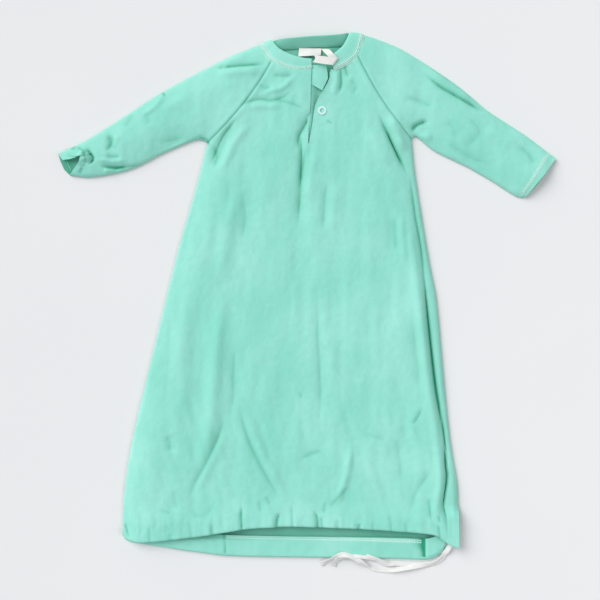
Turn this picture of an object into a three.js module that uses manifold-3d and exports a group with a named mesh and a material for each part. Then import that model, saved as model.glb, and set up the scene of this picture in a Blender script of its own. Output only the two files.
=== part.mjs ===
// A newborn's drawstring gown in knitted cotton, laid flat on its back with the sleeves spread.
// Millimetres. +X is to the right as seen from above, +Y runs from the hem to the neck, +Z is up.
// "left" and "right" are as seen, so the wearer's left is on the right.
import * as THREE from "three";
import { mergeVertices } from "three/addons/utils/BufferGeometryUtils.js";
import Module from "manifold-3d";

// ---- Cut sizes -------------------------------------------------------------------------------
const gownLength = 581; // top of the neckband to the back hem's edge
const chestWidth = 223; // underarm to underarm
const hemWidth = 368; // side to side at the hem
const raglanDrop = 121; // top of the neckband down to the underarm
const sleeveLength = 254; // shoulder to cuff along the upper fold
const cuffWidth = 53;
const neckWidth = 110; // between the two folds of the neckband
const bandHeight = 13.5;
const bandThickness = 1.6;
const fabric = 0.9; // one layer of knit, with its loft
const seamWidth = 6; // overlocked seam allowance, pressed flat inside
const seamThickness = 0.8;
const stitchWidth = 2.6; // two-needle coverstitch
const stitchThickness = 0.3;

// ---- Hem casing and its tape -----------------------------------------------------------------
const casingHeight = 22;
const casingWall = 0.8;
const tunnelDepth = 1.6;
const mouthInset = { back: 26, front: 15 }; // from the right-hand side fold to each mouth
const hemClearance = 0.8; // between the panels and the casing
const tapeWidth = 6.5;
const tapeThickness = 0.8;
const tapeTravel = 45; // how far the tails pull out
const tapeGrip = 15; // length of tape still inside when the tails are pulled out

// ---- Placket, snap and labels ----------------------------------------------------------------
const slitLength = 86;
const placketWidth = 22;
const snapRadius = 4.75;
const snapRingHole = 2.6;
const snapRingThickness = 1;
const snapDrop = 89; // top of the neckband down to the snap's centre
const studRadius = 1.7;
const socketClearance = 0.4; // radial, between the stud's post and the socket
const socketThickness = 1.3;
const flangeThickness = 0.6;
const tackLength = 8;
const tackInset = 4; // of the tack's middle from the foot of the slit
const sizeLabelWidth = 22;
const sizeLabelHeight = 11;
const labelThickness = 0.5;
const careLabelWidth = 9;
const neckDepthAtLabel = 22.5; // from the labels' root to the front neck seam

// ---- How it lies -----------------------------------------------------------------------------
const gap = 0.3; // between pieces that touch
const crown = 8.9; // highest layer over the table
const foldHeight = 3.4; // along the side and sleeve folds
const foldRun = 32; // from a fold in to the full height
const hemRise = 3.5; // how much the side folds thicken where the casing is doubled
const mouthLift = 1.8; // how much the front stands higher at the hem, which holds its mouth open
const hemRiseStart = 80; // above the hem's corners
const hemRiseEnd = 25;
const underLayerDrop = 3.7; // placket facing below the front layer, room for the snap
const neckX = 7.15;
const chestX = 4.4;
const hemX = -16.5; // the skirt leans to the left
const chestTilt = 2.2;
const hemTilt = 7.5;
const hemCornerRise = 17.5; // mean hem corner above the lowest edge of the hem

// How far each run of the hem lies above or below the straight line between the side corners:
// [place across, -1 at the left corner and 1 at the right; rise].
const frontHemRise = [
  [-1, 0],
  [-0.8, -3],
  [-0.54, 5],
  [-0.24, 15.5],
  [0, 19.5],
  [0.35, 20.2],
  [0.65, 19],
  [0.85, 15.5],
  [1, 8],
];
const backHemRise = [
  [-1, 0],
  [-0.78, -9.5],
  [-0.54, -15],
  [-0.3, -17],
  [0, -16],
  [0.35, -14],
  [0.65, -13],
  [1, -12],
];

const top = gownLength / 2;
const bottom = -gownLength / 2;
const casingDepth = tunnelDepth + 2 * casingWall;

// Each side's own lie: which way it faces, its sleeve's slope and the bow of its outlines. The
// rows are those of the neckline below where the band folds and where the raglan seams meet it.
const sides = {
  left: {
    sign: -1,
    sleeveAngle: 208.7,
    cuffAngle: -43,
    sleeveBow: -10,
    underBow: 6,
    sideBow: -11,
    raglanBow: 4.9,
    foldRow: 5,
    frontRow: 2,
    backRow: 8,
  },
  right: {
    sign: 1,
    sleeveAngle: -32.8,
    cuffAngle: 233,
    sleeveBow: 8,
    underBow: -3,
    sideBow: 6,
    raglanBow: -4,
    foldRow: 15,
    frontRow: 18,
    backRow: 12,
  },
};

// The neckband's seam edge, from the front's left end round the back to its right end:
// [share of the half width, drop below the top, height, direction to the free edge, tilt].
const neckline = [
  [0, 48.8, 8.9, 90, 6],
  [-0.4, 44.3, 8.9, 68, 6],
  [-0.8, 34.5, 8.2, 45, 6],
  [-0.94, 25, 6.6, 32, 4],
  [-1, 17, 5.4, 24, 0],
  [-1.03, 14.7, 3.2, 20, 0],
  [-0.99, 16.5, 1, 26, 0],
  [-0.88, 19.5, 0.1, 44, 6],
  [-0.72, 20.4, 0, 62, 20],
  [-0.4, 19.4, 0, 82, 32],
  [0, 17.5, 0, 90, 35],
  [0.4, 16.6, 0, 97, 32],
  [0.7, 15.4, 0, 112, 20],
  [0.87, 11.5, 0.1, 136, 6],
  [0.99, 6.2, 1, 165, 0],
  [1.01, 3.7, 3.2, 172, 0],
  [1.01, 6.2, 5.4, 166, 0],
  [0.98, 16, 6.6, 155, 4],
  [0.9, 28, 8.2, 140, 6],
  [0.69, 37.5, 8.9, 125, 6],
  [0.44, 44, 8.9, 115, 6],
];
const frontLeftEnd = neckline[0];
const frontRightEnd = neckline[neckline.length - 1];
const bandStepsPerPoint = 2;

// ---- Colours ---------------------------------------------------------------------------------
const finishes = {
  jersey: { color: 0x8bdcca, roughness: 0.95, metalness: 0 },
  seam: { color: 0x7ccfbb, roughness: 0.9, metalness: 0 },
  stitch: { color: 0xb8ece0, roughness: 0.8, metalness: 0 },
  tape: { color: 0xf1f2ef, roughness: 0.85, metalness: 0 },
  label: { color: 0xf6f5ee, roughness: 0.5, metalness: 0 },
  snap: { color: 0xd8eee9, roughness: 0.35, metalness: 0.1 },
};

// ---- Plane geometry --------------------------------------------------------------------------
const lerp = THREE.MathUtils.lerp;
const clamp = THREE.MathUtils.clamp;
const vec = (x, y, z) => new THREE.Vector3(x, y, z);
const smooth = (t) => THREE.MathUtils.smoothstep(t, 0, 1);
const range = (count) => Array.from({ length: count + 1 }, (_, i) => i / count);
const toward = (degrees) => {
  const a = THREE.MathUtils.degToRad(degrees);
  return new THREE.Vector2(Math.cos(a), Math.sin(a));
};
const step = (from, direction, length) => from.clone().addScaledVector(direction, length);
const leftOf = (direction) => new THREE.Vector2(-direction.y, direction.x);

// A line from a to b that bows to its left by `bow` half-way.
function bowed(a, b, bow) {
  const side = leftOf(b.clone().sub(a).normalize());
  return (s) => step(a.clone().lerp(b, s), side, 4 * s * (1 - s) * bow);
}

// ---- Outline of the laid gown ----------------------------------------------------------------
const neckPoint = ([share, drop]) => new THREE.Vector2(neckX + (share * neckWidth) / 2, top - drop);
const cornerY = (sign) => bottom + hemCornerRise - sign * hemTilt;

function outlineOf(side) {
  const { sign } = side;
  const [shoulder, frontTop, backTop] = [side.foldRow, side.frontRow, side.backRow].map((row) =>
    neckPoint(neckline[row]),
  );
  const underarm = new THREE.Vector2(chestX + (sign * chestWidth) / 2, top - raglanDrop + sign * chestTilt);
  const corner = new THREE.Vector2(hemX + (sign * hemWidth) / 2, cornerY(sign));
  const cuffTop = step(shoulder, toward(side.sleeveAngle), sleeveLength);
  const cuffUnder = step(cuffTop, toward(side.cuffAngle), cuffWidth);
  return {
    ...side,
    shoulder,
    underarm,
    corner,
    upperFold: bowed(shoulder, cuffTop, side.sleeveBow),
    underFold: bowed(underarm, cuffUnder, side.underBow),
    sideFold: bowed(underarm, corner, side.sideBow),
    frontRaglanLine: bowed(frontTop, underarm, side.raglanBow),
    backRaglanLine: bowed(backTop, underarm, 0),
  };
}
const left = outlineOf(sides.left);
const right = outlineOf(sides.right);

const outlineSteps = 14;
const folds = [left, right].flatMap((side) =>
  [side.upperFold, side.underFold, side.sideFold].map((line) => range(outlineSteps).map(line)),
);

function distanceToFold(point) {
  let nearest = Infinity;
  for (const line of folds) {
    for (let i = 0; i + 1 < line.length; i++) {
      const along = line[i + 1].clone().sub(line[i]);
      const share = clamp(point.clone().sub(line[i]).dot(along) / along.lengthSq(), 0, 1);
      nearest = Math.min(nearest, point.distanceTo(step(line[i], along, share)));
    }
  }
  return nearest;
}

// Height of the upper face of the gown's upper layer.
function topHeight(x, y) {
  const rounded = 1 - (1 - Math.min(distanceToFold(new THREE.Vector2(x, y)) / foldRun, 1)) ** 2;
  const hemY = lerp(left.corner.y, right.corner.y, clamp((x - left.corner.x) / hemWidth, 0, 1));
  const nearHem = smooth((hemY + hemRiseStart - y) / (hemRiseStart - hemRiseEnd));
  return lerp(foldHeight + hemRise * nearHem, crown + mouthLift * nearHem, rounded);
}

// ---- Building solids -------------------------------------------------------------------------
function geometryOf(points, faces) {
  const positions = faces.flatMap((face) => face.flatMap((i) => points[i].toArray()));
  const soup = new THREE.BufferGeometry();
  soup.setAttribute("position", new THREE.Float32BufferAttribute(positions, 3));
  return facingOut(mergeVertices(soup, 1e-4));
}

function facingOut(geometry) {
  const at = geometry.attributes.position;
  const index = geometry.index.array;
  let volume = 0;
  for (let i = 0; i < index.length; i += 3) {
    const [a, b, c] = [0, 1, 2].map((k) => new THREE.Vector3().fromBufferAttribute(at, index[i + k]));
    volume += a.dot(b.cross(c));
  }
  if (volume < 0) {
    for (let i = 0; i < index.length; i += 3) [index[i], index[i + 1]] = [index[i + 1], index[i]];
  }
  geometry.computeVertexNormals();
  return geometry;
}

const quad = (a, b, c, d) => [
  [a, b, c],
  [a, c, d],
];

// A closed slab: each station holds its upper points and, one under another, its lower points.
function slab(stations) {
  const width = stations[0].upper.length;
  const points = stations.flatMap((s) => [...s.upper, ...s.lower]);
  const up = (row, i) => row * 2 * width + i;
  const low = (row, i) => up(row, i) + width;
  const last = stations.length - 1;
  const faces = [];
  for (let row = 0; row < last; row++) {
    for (let i = 0; i + 1 < width; i++) {
      faces.push(...quad(up(row, i), up(row + 1, i), up(row + 1, i + 1), up(row, i + 1)));
      faces.push(...quad(low(row, i), low(row, i + 1), low(row + 1, i + 1), low(row + 1, i)));
    }
    faces.push(...quad(up(row, 0), low(row, 0), low(row + 1, 0), up(row + 1, 0)));
    const end = width - 1;
    faces.push(...quad(up(row, end), up(row + 1, end), low(row + 1, end), low(row, end)));
  }
  for (let i = 0; i + 1 < width; i++) {
    faces.push(...quad(up(0, i), up(0, i + 1), low(0, i + 1), low(0, i)));
    faces.push(...quad(up(last, i), low(last, i), low(last, i + 1), up(last, i + 1)));
  }
  return geometryOf(points, faces);
}

// A slab whose lower face is straight below its upper face.
const sheet = (rows, thickness) =>
  slab(rows.map((upper) => ({ upper, lower: upper.map((p) => vec(p.x, p.y, p.z - thickness)) })));

// An open-ended tube with a wall, from matching outer and inner rings.
function tube(outerRings, innerRings) {
  const around = outerRings[0].length;
  const points = [...outerRings.flat(), ...innerRings.flat()];
  const inner = outerRings.length * around;
  const last = outerRings.length - 1;
  const at = (row, i) => row * around + (i % around);
  const faces = [];
  for (let row = 0; row < last; row++) {
    for (let i = 0; i < around; i++) {
      const ring = [at(row, i), at(row, i + 1), at(row + 1, i + 1), at(row + 1, i)];
      faces.push(...quad(...ring));
      faces.push(...quad(...ring.map((k) => k + inner).reverse()));
    }
  }
  for (let i = 0; i < around; i++) {
    faces.push(...quad(at(0, i + 1), at(0, i), at(0, i) + inner, at(0, i + 1) + inner));
    faces.push(...quad(at(last, i), at(last, i + 1), at(last, i + 1) + inner, at(last, i) + inner));
  }
  return geometryOf(points, faces);
}

// A flat tape along a route of centre points, its width level, at right angles to the route.
function tapeAlong(route, width, thickness) {
  const stations = route.map((point, i) => {
    const ahead = route[Math.min(i + 1, route.length - 1)];
    const behind = route[Math.max(i - 1, 0)];
    const across = leftOf(new THREE.Vector2(ahead.x - behind.x, ahead.y - behind.y).normalize());
    const edge = (side, dz) =>
      vec(point.x + (side * across.x * width) / 2, point.y + (side * across.y * width) / 2, point.z + dz);
    return {
      upper: [edge(1, thickness / 2), edge(-1, thickness / 2)],
      lower: [edge(1, -thickness / 2), edge(-1, -thickness / 2)],
    };
  });
  return slab(stations);
}

// ---- Joining and cutting ---------------------------------------------------------------------
const wasm = await Module();
wasm.setup();

function toSolid(geometry) {
  const bare = geometry.clone();
  bare.deleteAttribute("normal");
  bare.deleteAttribute("uv");
  const merged = mergeVertices(bare, 1e-4);
  return new wasm.Manifold(
    new wasm.Mesh({
      numProp: 3,
      vertProperties: merged.attributes.position.array,
      triVerts: new Uint32Array(merged.index.array),
    }),
  );
}

function fromSolid(solid) {
  const mesh = solid.getMesh();
  const geometry = new THREE.BufferGeometry();
  geometry.setAttribute("position", new THREE.BufferAttribute(new Float32Array(mesh.vertProperties), 3));
  geometry.setIndex(new THREE.BufferAttribute(new Uint32Array(mesh.triVerts), 1));
  geometry.computeVertexNormals();
  return geometry;
}

// An upright prism over a plane outline, from below the table to above everything.
const prismReach = 40;
function prism(outline) {
  const shape = new THREE.Shape(outline.map((p) => new THREE.Vector2(p.x, p.y)));
  const geometry = new THREE.ExtrudeGeometry(shape, { depth: 2 * prismReach, bevelEnabled: false });
  return geometry.translate(0, 0, -prismReach);
}

// ---- The assembly ----------------------------------------------------------------------------
const gown = new THREE.Group();
function add(name, geometry, finish) {
  const mesh = new THREE.Mesh(geometry, new THREE.MeshStandardMaterial(finishes[finish]));
  mesh.name = name;
  gown.add(mesh);
}

// ---- Neckband --------------------------------------------------------------------------------
function bandCurves() {
  const seam = [];
  const free = [];
  for (const row of neckline) {
    const [, , z, direction, tilt] = row;
    const at = neckPoint(row);
    const lean = THREE.MathUtils.degToRad(tilt);
    const flat = toward(direction).multiplyScalar(bandHeight * Math.cos(lean));
    seam.push(vec(at.x, at.y, z));
    free.push(vec(at.x + flat.x, at.y + flat.y, z + bandHeight * Math.sin(lean)));
  }
  return [seam, free].map((points) => new THREE.CatmullRomCurve3(points));
}
const [seamCurve, freeCurve] = bandCurves();
const bandSteps = (neckline.length - 1) * bandStepsPerPoint;
const bandShares = range(bandSteps);

function bandNormal(share) {
  const along = seamCurve.getTangent(share).add(freeCurve.getTangent(share));
  return along.cross(freeCurve.getPoint(share).sub(seamCurve.getPoint(share))).normalize();
}

function neckband() {
  return slab(
    bandShares.map((share) => {
      const upper = [seamCurve.getPoint(share), freeCurve.getPoint(share)];
      const inward = bandNormal(share).multiplyScalar(bandThickness);
      return { upper, lower: upper.map((p) => p.clone().add(inward)) };
    }),
  );
}
add("neckband", neckband(), "jersey");

// The coverstitch lies outside the band, just above its seam, along the front.
const bandStitchInset = 1.6;
const bandStitchShares = { left: [0, 0.14], right: [0.87, 1] };
function neckbandStitch([from, to]) {
  const steps = 6;
  return slab(
    range(steps).map((t) => {
      const share = lerp(from, to, t);
      const seam = seamCurve.getPoint(share);
      const across = freeCurve.getPoint(share).sub(seam).normalize();
      const outward = bandNormal(share).negate();
      const lower = [bandStitchInset, bandStitchInset + stitchWidth].map((inset) =>
        seam.clone().addScaledVector(across, inset).addScaledVector(outward, gap),
      );
      return { lower, upper: lower.map((p) => p.clone().addScaledVector(outward, stitchThickness)) };
    }),
  );
}
add("neckband_stitch_left", neckbandStitch(bandStitchShares.left), "stitch");
add("neckband_stitch_right", neckbandStitch(bandStitchShares.right), "stitch");

// ---- Front and back panels -------------------------------------------------------------------
function riseAt(outline, u) {
  const next = Math.max(1, outline.findIndex(([place]) => place >= u));
  const [[from, low], [to, high]] = [outline[next - 1], outline[next]];
  return lerp(low, high, (u - from) / (to - from));
}
const hemPoint = (u, outline) => {
  const share = (u + 1) / 2;
  return new THREE.Vector2(
    lerp(left.corner.x, right.corner.x, share),
    lerp(left.corner.y, right.corner.y, share) + riseAt(outline, u),
  );
};
const raglanSteps = 6;
const skirtSteps = 10;
const panelColumns = 14;
const sideEnd = (side) => 1 - (casingHeight + hemClearance) / (side.underarm.y - side.corner.y);

function panelRows(raglanOf, neckBow, hemOutline, height) {
  const edge = (side, row) => {
    if (row <= raglanSteps) {
      const point = raglanOf(side)(row / raglanSteps);
      return new THREE.Vector2(point.x - side.sign * gap, point.y - gap);
    }
    return side.sideFold((sideEnd(side) * (row - raglanSteps)) / skirtSteps);
  };
  const rows = [];
  for (let row = 0; row <= raglanSteps + skirtSteps; row++) {
    const [from, to] = [edge(left, row), edge(right, row)];
    const yoke = 1 - smooth(row / raglanSteps);
    const skirt = Math.max(row - raglanSteps, 0) / skirtSteps;
    rows.push(
      range(panelColumns).map((t) => {
        const u = 2 * t - 1;
        const x = lerp(from.x, to.x, t);
        const lift = neckBow * yoke * (1 - u * u) + riseAt(hemOutline, u) * skirt ** 3;
        const y = lerp(from.y, to.y, t) + lift;
        return vec(x, y, height(x, y));
      }),
    );
  }
  return rows;
}

// A point of the neck seam, moved out of the band into the panel or sleeve that it is sewn to.
function outsideBand(share, length) {
  const seam = seamCurve.getPoint(share);
  const away = seam.clone().sub(freeCurve.getPoint(share));
  return step(new THREE.Vector2(seam.x, seam.y), new THREE.Vector2(away.x, away.y).normalize(), length);
}

// The region of the band and all above it: what is cut from a panel's top.
const neckCutReach = 30;
function neckCutter(shares, clearance) {
  const seam = shares.map((share) => outsideBand(share, clearance));
  const above = [seam[seam.length - 1], seam[0]].map((p) => new THREE.Vector2(p.x, top + neckCutReach));
  return toSolid(prism([...seam, ...above]));
}
const rowShare = (row) => row / (neckline.length - 1);
const leftFront = bandShares.filter((share) => share <= rowShare(left.foldRow - 1)).reverse();
const rightFront = bandShares.filter((share) => share >= rowShare(right.foldRow + 1)).reverse();
const backRun = bandShares.filter((s) => s > rowShare(left.foldRow) && s < rowShare(right.foldRow));
const frontClearance = 2 * gap;
const backClearance = bandThickness; // the tilted band's inner face leans over the panel

const neckDip = -22; // the cut sheets reach above the seam before they are trimmed
const frontRows = panelRows((side) => side.frontRaglanLine, neckDip, frontHemRise, topHeight);
const front = toSolid(sheet(frontRows, fabric)).subtract(
  neckCutter([...leftFront, ...rightFront], frontClearance),
);
const backRows = panelRows((side) => side.backRaglanLine, 0, backHemRise, () => fabric);
const back = toSolid(sheet(backRows, fabric)).subtract(neckCutter(backRun, backClearance));
add("back_panel", fromSolid(back), "jersey");

// ---- Placket ---------------------------------------------------------------------------------
// The slit runs down and to the left. Its right-hand strip laps over a facing on the left.
const slitTopLeft = neckPoint(frontLeftEnd);
const slitBottom = new THREE.Vector2(slitTopLeft.x - 4.4, top - 38 - slitLength);
const overEdge = [
  slitBottom.clone().add(new THREE.Vector2(1, 1.5)),
  slitBottom.clone().add(new THREE.Vector2(5.3, 20)),
  slitBottom.clone().add(new THREE.Vector2(7.5, 40)),
  slitBottom.clone().add(new THREE.Vector2(17.4, 58.7)),
  slitBottom.clone().add(new THREE.Vector2(24, 73)),
  neckPoint(frontRightEnd).add(new THREE.Vector2(-1, 12)),
];
const flapHingeLow = slitBottom.clone().add(new THREE.Vector2(placketWidth, 0));
const flapHingeHigh = neckPoint(frontRightEnd).add(new THREE.Vector2(placketWidth, 12));

function placketOutline(inset) {
  const rightEdge = [flapHingeHigh, flapHingeLow].map((p) => new THREE.Vector2(p.x - inset, p.y));
  const leftEdge = overEdge.map((p, i) => new THREE.Vector2(p.x + (i ? 0 : inset), p.y + (i ? 0 : inset)));
  rightEdge[1].y += inset;
  return [...leftEdge, ...rightEdge];
}
const slitMouth = [
  slitBottom,
  flapHingeLow,
  flapHingeHigh,
  new THREE.Vector2(slitTopLeft.x, flapHingeHigh.y),
  slitTopLeft,
];
add("front_panel", fromSolid(front.subtract(toSolid(prism(slitMouth)))), "jersey");
add("placket_over", fromSolid(front.intersect(toSolid(prism(placketOutline(gap))))), "jersey");

// The facing is tucked under the left edge of the slit and drops to leave room for the snap.
const facingTuck = 2.5;
const facingRun = 9;
const facingTop = crown - fabric - gap;
function placketFacing() {
  const width = facingTuck + placketWidth + 4;
  const columns = [0, facingTuck / width, (facingTuck + facingRun) / width, 1];
  return sheet(
    range(6).map((t) => {
      const start = slitBottom.clone().lerp(slitTopLeft, lerp(-0.04, 0.98, t));
      return columns.map((share) => {
        const x = start.x - facingTuck + share * width;
        const drop = smooth(clamp((x - start.x) / facingRun, 0, 1)) * underLayerDrop;
        return vec(x, start.y, facingTop - drop);
      });
    }),
    fabric,
  );
}
add("placket_under", placketFacing(), "jersey");

const tackY = slitBottom.y - 2;
const tackThickness = 0.5;
add(
  "placket_bar_tack",
  tapeAlong(
    [-0.5, 0.5].map((share) =>
      vec(slitBottom.x + tackInset + share * tackLength, tackY, crown + gap + tackThickness / 2),
    ),
    1.6,
    tackThickness,
  ),
  "stitch",
);

// ---- Snap ------------------------------------------------------------------------------------
const snapSegments = 24;
const snapAt = new THREE.Vector2(slitBottom.x + 15.4, top - snapDrop);
const ring = (outer, inner, low, high, edge) =>
  new THREE.LatheGeometry(
    [
      new THREE.Vector2(inner, low),
      new THREE.Vector2(outer - edge, low),
      new THREE.Vector2(outer, lerp(low, high, 0.5)),
      new THREE.Vector2(outer - edge, high),
      new THREE.Vector2(inner, high),
      new THREE.Vector2(inner, low),
    ],
    snapSegments,
  );
function addSnap(name, geometry) {
  const upright = geometry.rotateX(Math.PI / 2).translate(snapAt.x, snapAt.y, 0);
  upright.deleteAttribute("normal");
  upright.deleteAttribute("uv");
  add(name, facingOut(mergeVertices(upright, 1e-4)), "snap");
}
const socketTop = crown - fabric - gap;
const socketLow = socketTop - socketThickness;
const facingUpper = facingTop - underLayerDrop;
const flangeLow = facingUpper + gap;
const backRingTop = facingUpper - fabric - gap;
const socketHole = studRadius + socketClearance;
const flangeRadius = snapRadius - 0.5;
addSnap("snap_cap_ring", ring(snapRadius, snapRingHole, crown + gap, crown + gap + snapRingThickness, 0.4));
addSnap("snap_socket", ring(flangeRadius, socketHole, socketLow, socketTop, 0.2));
addSnap(
  "snap_stud",
  new THREE.LatheGeometry(
    [
      new THREE.Vector2(0, flangeLow),
      new THREE.Vector2(flangeRadius, flangeLow),
      new THREE.Vector2(flangeRadius, flangeLow + flangeThickness),
      new THREE.Vector2(studRadius, flangeLow + flangeThickness),
      new THREE.Vector2(studRadius, socketTop - gap),
      new THREE.Vector2(0, socketTop - gap),
    ],
    snapSegments,
  ),
);
addSnap("snap_back_ring", ring(snapRadius, snapRingHole, backRingTop - snapRingThickness, backRingTop, 0.3));

// ---- Sleeves ---------------------------------------------------------------------------------
const sleeveSteps = 8;
const bandClearance = 2.2; // between the neckband and the sleeve's neck edge
const wallInset = 1.6; // of the sleeve's inside from its folds

// A point of one layer of the sleeve: u from armhole to cuff, share from upper to lower fold.
// Its armhole edge runs along the band from the shoulder fold, then down the raglan seam.
const neckShare = 0.18;
function sleevePoint(side, layerRow, raglan, u, share) {
  const nearNeck = rowShare(lerp(side.foldRow, layerRow, Math.min(share / neckShare, 1)));
  const start =
    share < neckShare
      ? outsideBand(nearNeck, bandClearance)
      : raglan((share - neckShare) / (1 - neckShare));
  const upper = side.upperFold(u);
  const under = side.underFold(u);
  const across = upper.clone().lerp(under, share);
  const shift = start.clone().sub(side.shoulder.clone().lerp(side.underarm, share));
  return across.addScaledVector(shift, (1 - u) ** 2);
}

function sleeve(side) {
  const shares = [0, 0.06, 0.12, ...range(raglanSteps).map((s) => lerp(neckShare, 1, s))];
  const ringAt = (u, inset, wall) => {
    const width = side.upperFold(u).distanceTo(side.underFold(u));
    const squeeze = (share) => lerp(inset / width, 1 - inset / width, share);
    const over = shares.map((share) => {
      const p = sleevePoint(side, side.frontRow, side.frontRaglanLine, u, squeeze(share));
      return vec(p.x, p.y, topHeight(p.x, p.y) - wall);
    });
    const below = shares.map((share) => {
      const p = sleevePoint(side, side.backRow, side.backRaglanLine, u, squeeze(share));
      return vec(p.x, p.y, wall);
    });
    return [...over, ...below.reverse()];
  };
  const stations = range(sleeveSteps);
  return tube(
    stations.map((u) => ringAt(u, 0, 0)),
    stations.map((u) => ringAt(u, wallInset, fabric)),
  );
}

const cuffStitchInset = 10; // from the cuff's edge
function cuffStitch(side) {
  const edgeShare = 1 - cuffStitchInset / sleeveLength;
  const inner = 1 - (cuffStitchInset + stitchWidth) / sleeveLength;
  return slab(
    range(8).map((t) => {
      const share = lerp(0.06, 0.94, t);
      const lower = [edgeShare, inner].map((u) => {
        const p = side.upperFold(u).lerp(side.underFold(u), share);
        return vec(p.x, p.y, topHeight(p.x, p.y) + 2 * gap);
      });
      return { lower, upper: lower.map((p) => vec(p.x, p.y, p.z + stitchThickness)) };
    }),
  );
}

// A seam allowance pressed flat: it follows a line, `inset` in from it, on the side given.
function seamStrip(line, [from, to], steps, toSide, inset, heightAt) {
  return slab(
    range(steps).map((t) => {
      const s = lerp(from, to, t);
      const direction = line(s + 0.01).sub(line(s - 0.01)).normalize();
      const across = leftOf(direction).multiplyScalar(toSide);
      const ends = [inset, inset + seamWidth].map((length) => step(line(s), across, length));
      const z = Math.min(...ends.map((p) => heightAt(p.x, p.y)));
      return {
        upper: ends.map((p) => vec(p.x, p.y, z)),
        lower: ends.map((p) => vec(p.x, p.y, z - seamThickness)),
      };
    }),
  );
}
const seamHang = 1; // clear of the facets of the curved front
const underFront = (x, y) => topHeight(x, y) - fabric - seamHang;
const overBack = () => fabric + gap + seamThickness;

for (const [name, side] of Object.entries({ left, right })) {
  const inwards = -side.sign;
  add(`sleeve_${name}`, sleeve(side), "jersey");
  add(`cuff_stitch_${name}`, cuffStitch(side), "stitch");
  add(`underarm_seam_${name}`, seamStrip(side.underFold, [0.16, 0.9], 8, -inwards, 3.2, overBack), "seam");
  add(`side_seam_${name}`, seamStrip(side.sideFold, [0.03, 0.9], 12, inwards, 1.5, underFront), "seam");
  add(
    `front_raglan_seam_${name}`,
    seamStrip(side.frontRaglanLine, [0.05, 0.85], 6, inwards, 1, underFront),
    "seam",
  );
  add(
    `back_raglan_seam_${name}`,
    seamStrip(side.backRaglanLine, [0.08, 0.85], 5, inwards, 1, overBack),
    "seam",
  );
}

// ---- Hem casing and drawstring ---------------------------------------------------------------
const mouthU = { back: 1 - (2 * mouthInset.back) / hemWidth, front: 1 - (2 * mouthInset.front) / hemWidth };
const casingMid = casingDepth / 2;
const doubledGap = 0.6; // between the casing's two runs at the left fold
const foldRadius = (casingDepth + doubledGap) / 2;
const frontMid = crown + mouthLift - casingMid;
const doubledMid = casingMid + 2 * foldRadius;
const descentRun = 60;

// The casing's centre line: back run to the left, round the left fold, and back along the front.
const backMidY = (u) => hemPoint(u, backHemRise).y + casingHeight / 2;
const frontMidY = (u) => hemPoint(u, frontHemRise).y + casingHeight / 2;
const acrossHem = (u) => hemX + (u * hemWidth) / 2;
function casingPath({ back: backFrom, front: frontTo }) {
  const turnX = left.corner.x + casingMid + foldRadius;
  const turnU = (2 * (turnX - hemX)) / hemWidth;
  const steps = 16;
  const backRunPoints = range(steps).map((t) => {
    const u = lerp(backFrom, turnU, t);
    return { at: vec(acrossHem(u), backMidY(u), casingMid), normal: vec(0, 0, -1) };
  });
  const turn = range(6)
    .slice(1, -1)
    .map((t) => {
      const angle = Math.PI * t;
      const normal = vec(-Math.sin(angle), 0, -Math.cos(angle));
      const y = lerp(backMidY(turnU), frontMidY(turnU), t);
      return { at: vec(turnX, y, casingMid + foldRadius).addScaledVector(normal, foldRadius), normal };
    });
  const frontRunPoints = range(steps).map((t) => {
    const u = lerp(turnU, frontTo, t);
    const x = acrossHem(u);
    const z = lerp(doubledMid, frontMid, smooth((x - turnX) / descentRun));
    return { at: vec(x, frontMidY(u), z), normal: vec(0, 0, 1) };
  });
  return [...backRunPoints, ...turn, ...frontRunPoints];
}

const box = ({ at, normal }, halfWidth, halfDepth) =>
  [
    [-1, -1],
    [1, -1],
    [1, 1],
    [-1, 1],
  ].map(([side, face]) =>
    at.clone().addScaledVector(vec(0, 1, 0), side * halfWidth).addScaledVector(normal, face * halfDepth),
  );

const casing = casingPath(mouthU);
add(
  "hem_casing",
  tube(
    casing.map((station) => box(station, casingHeight / 2, casingMid)),
    casing.map((station) => box(station, casingHeight / 2 - casingWall, tunnelDepth / 2)),
  ),
  "jersey",
);

const hemStitchInset = 2;
function hemStitch(from, to, midY, topAt) {
  return tapeAlong(
    range(14).map((t) => {
      const u = lerp(from, to, t);
      const y = midY(u) + casingHeight / 2 - hemStitchInset - stitchWidth / 2;
      return vec(acrossHem(u), y, topAt + gap + stitchThickness / 2);
    }),
    stitchWidth,
    stitchThickness,
  );
}
const stitchFrom = -0.6; // both rows stop where the two runs begin to lie on each other
const stitchInsetU = 0.02;
const stitchTo = { back: mouthU.back - stitchInsetU, front: mouthU.front - stitchInsetU };
add("hem_stitch_back", hemStitch(stitchFrom, stitchTo.back, backMidY, casingDepth), "stitch");
add("hem_stitch_front", hemStitch(stitchFrom, stitchTo.front, frontMidY, crown + mouthLift), "stitch");

const joinU = -0.39; // where the casing's own ends are sewn together, in the back
add(
  "casing_join_seam",
  tapeAlong(
    [0, 1].map((t) => {
      const y = lerp(backMidY(joinU) - casingHeight / 2 + 1, backMidY(joinU) + casingHeight / 2 - 6, t);
      return vec(acrossHem(joinU), y, casingDepth + gap + stitchThickness / 2);
    }),
    stitchWidth,
    stitchThickness,
  ),
  "stitch",
);

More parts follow.
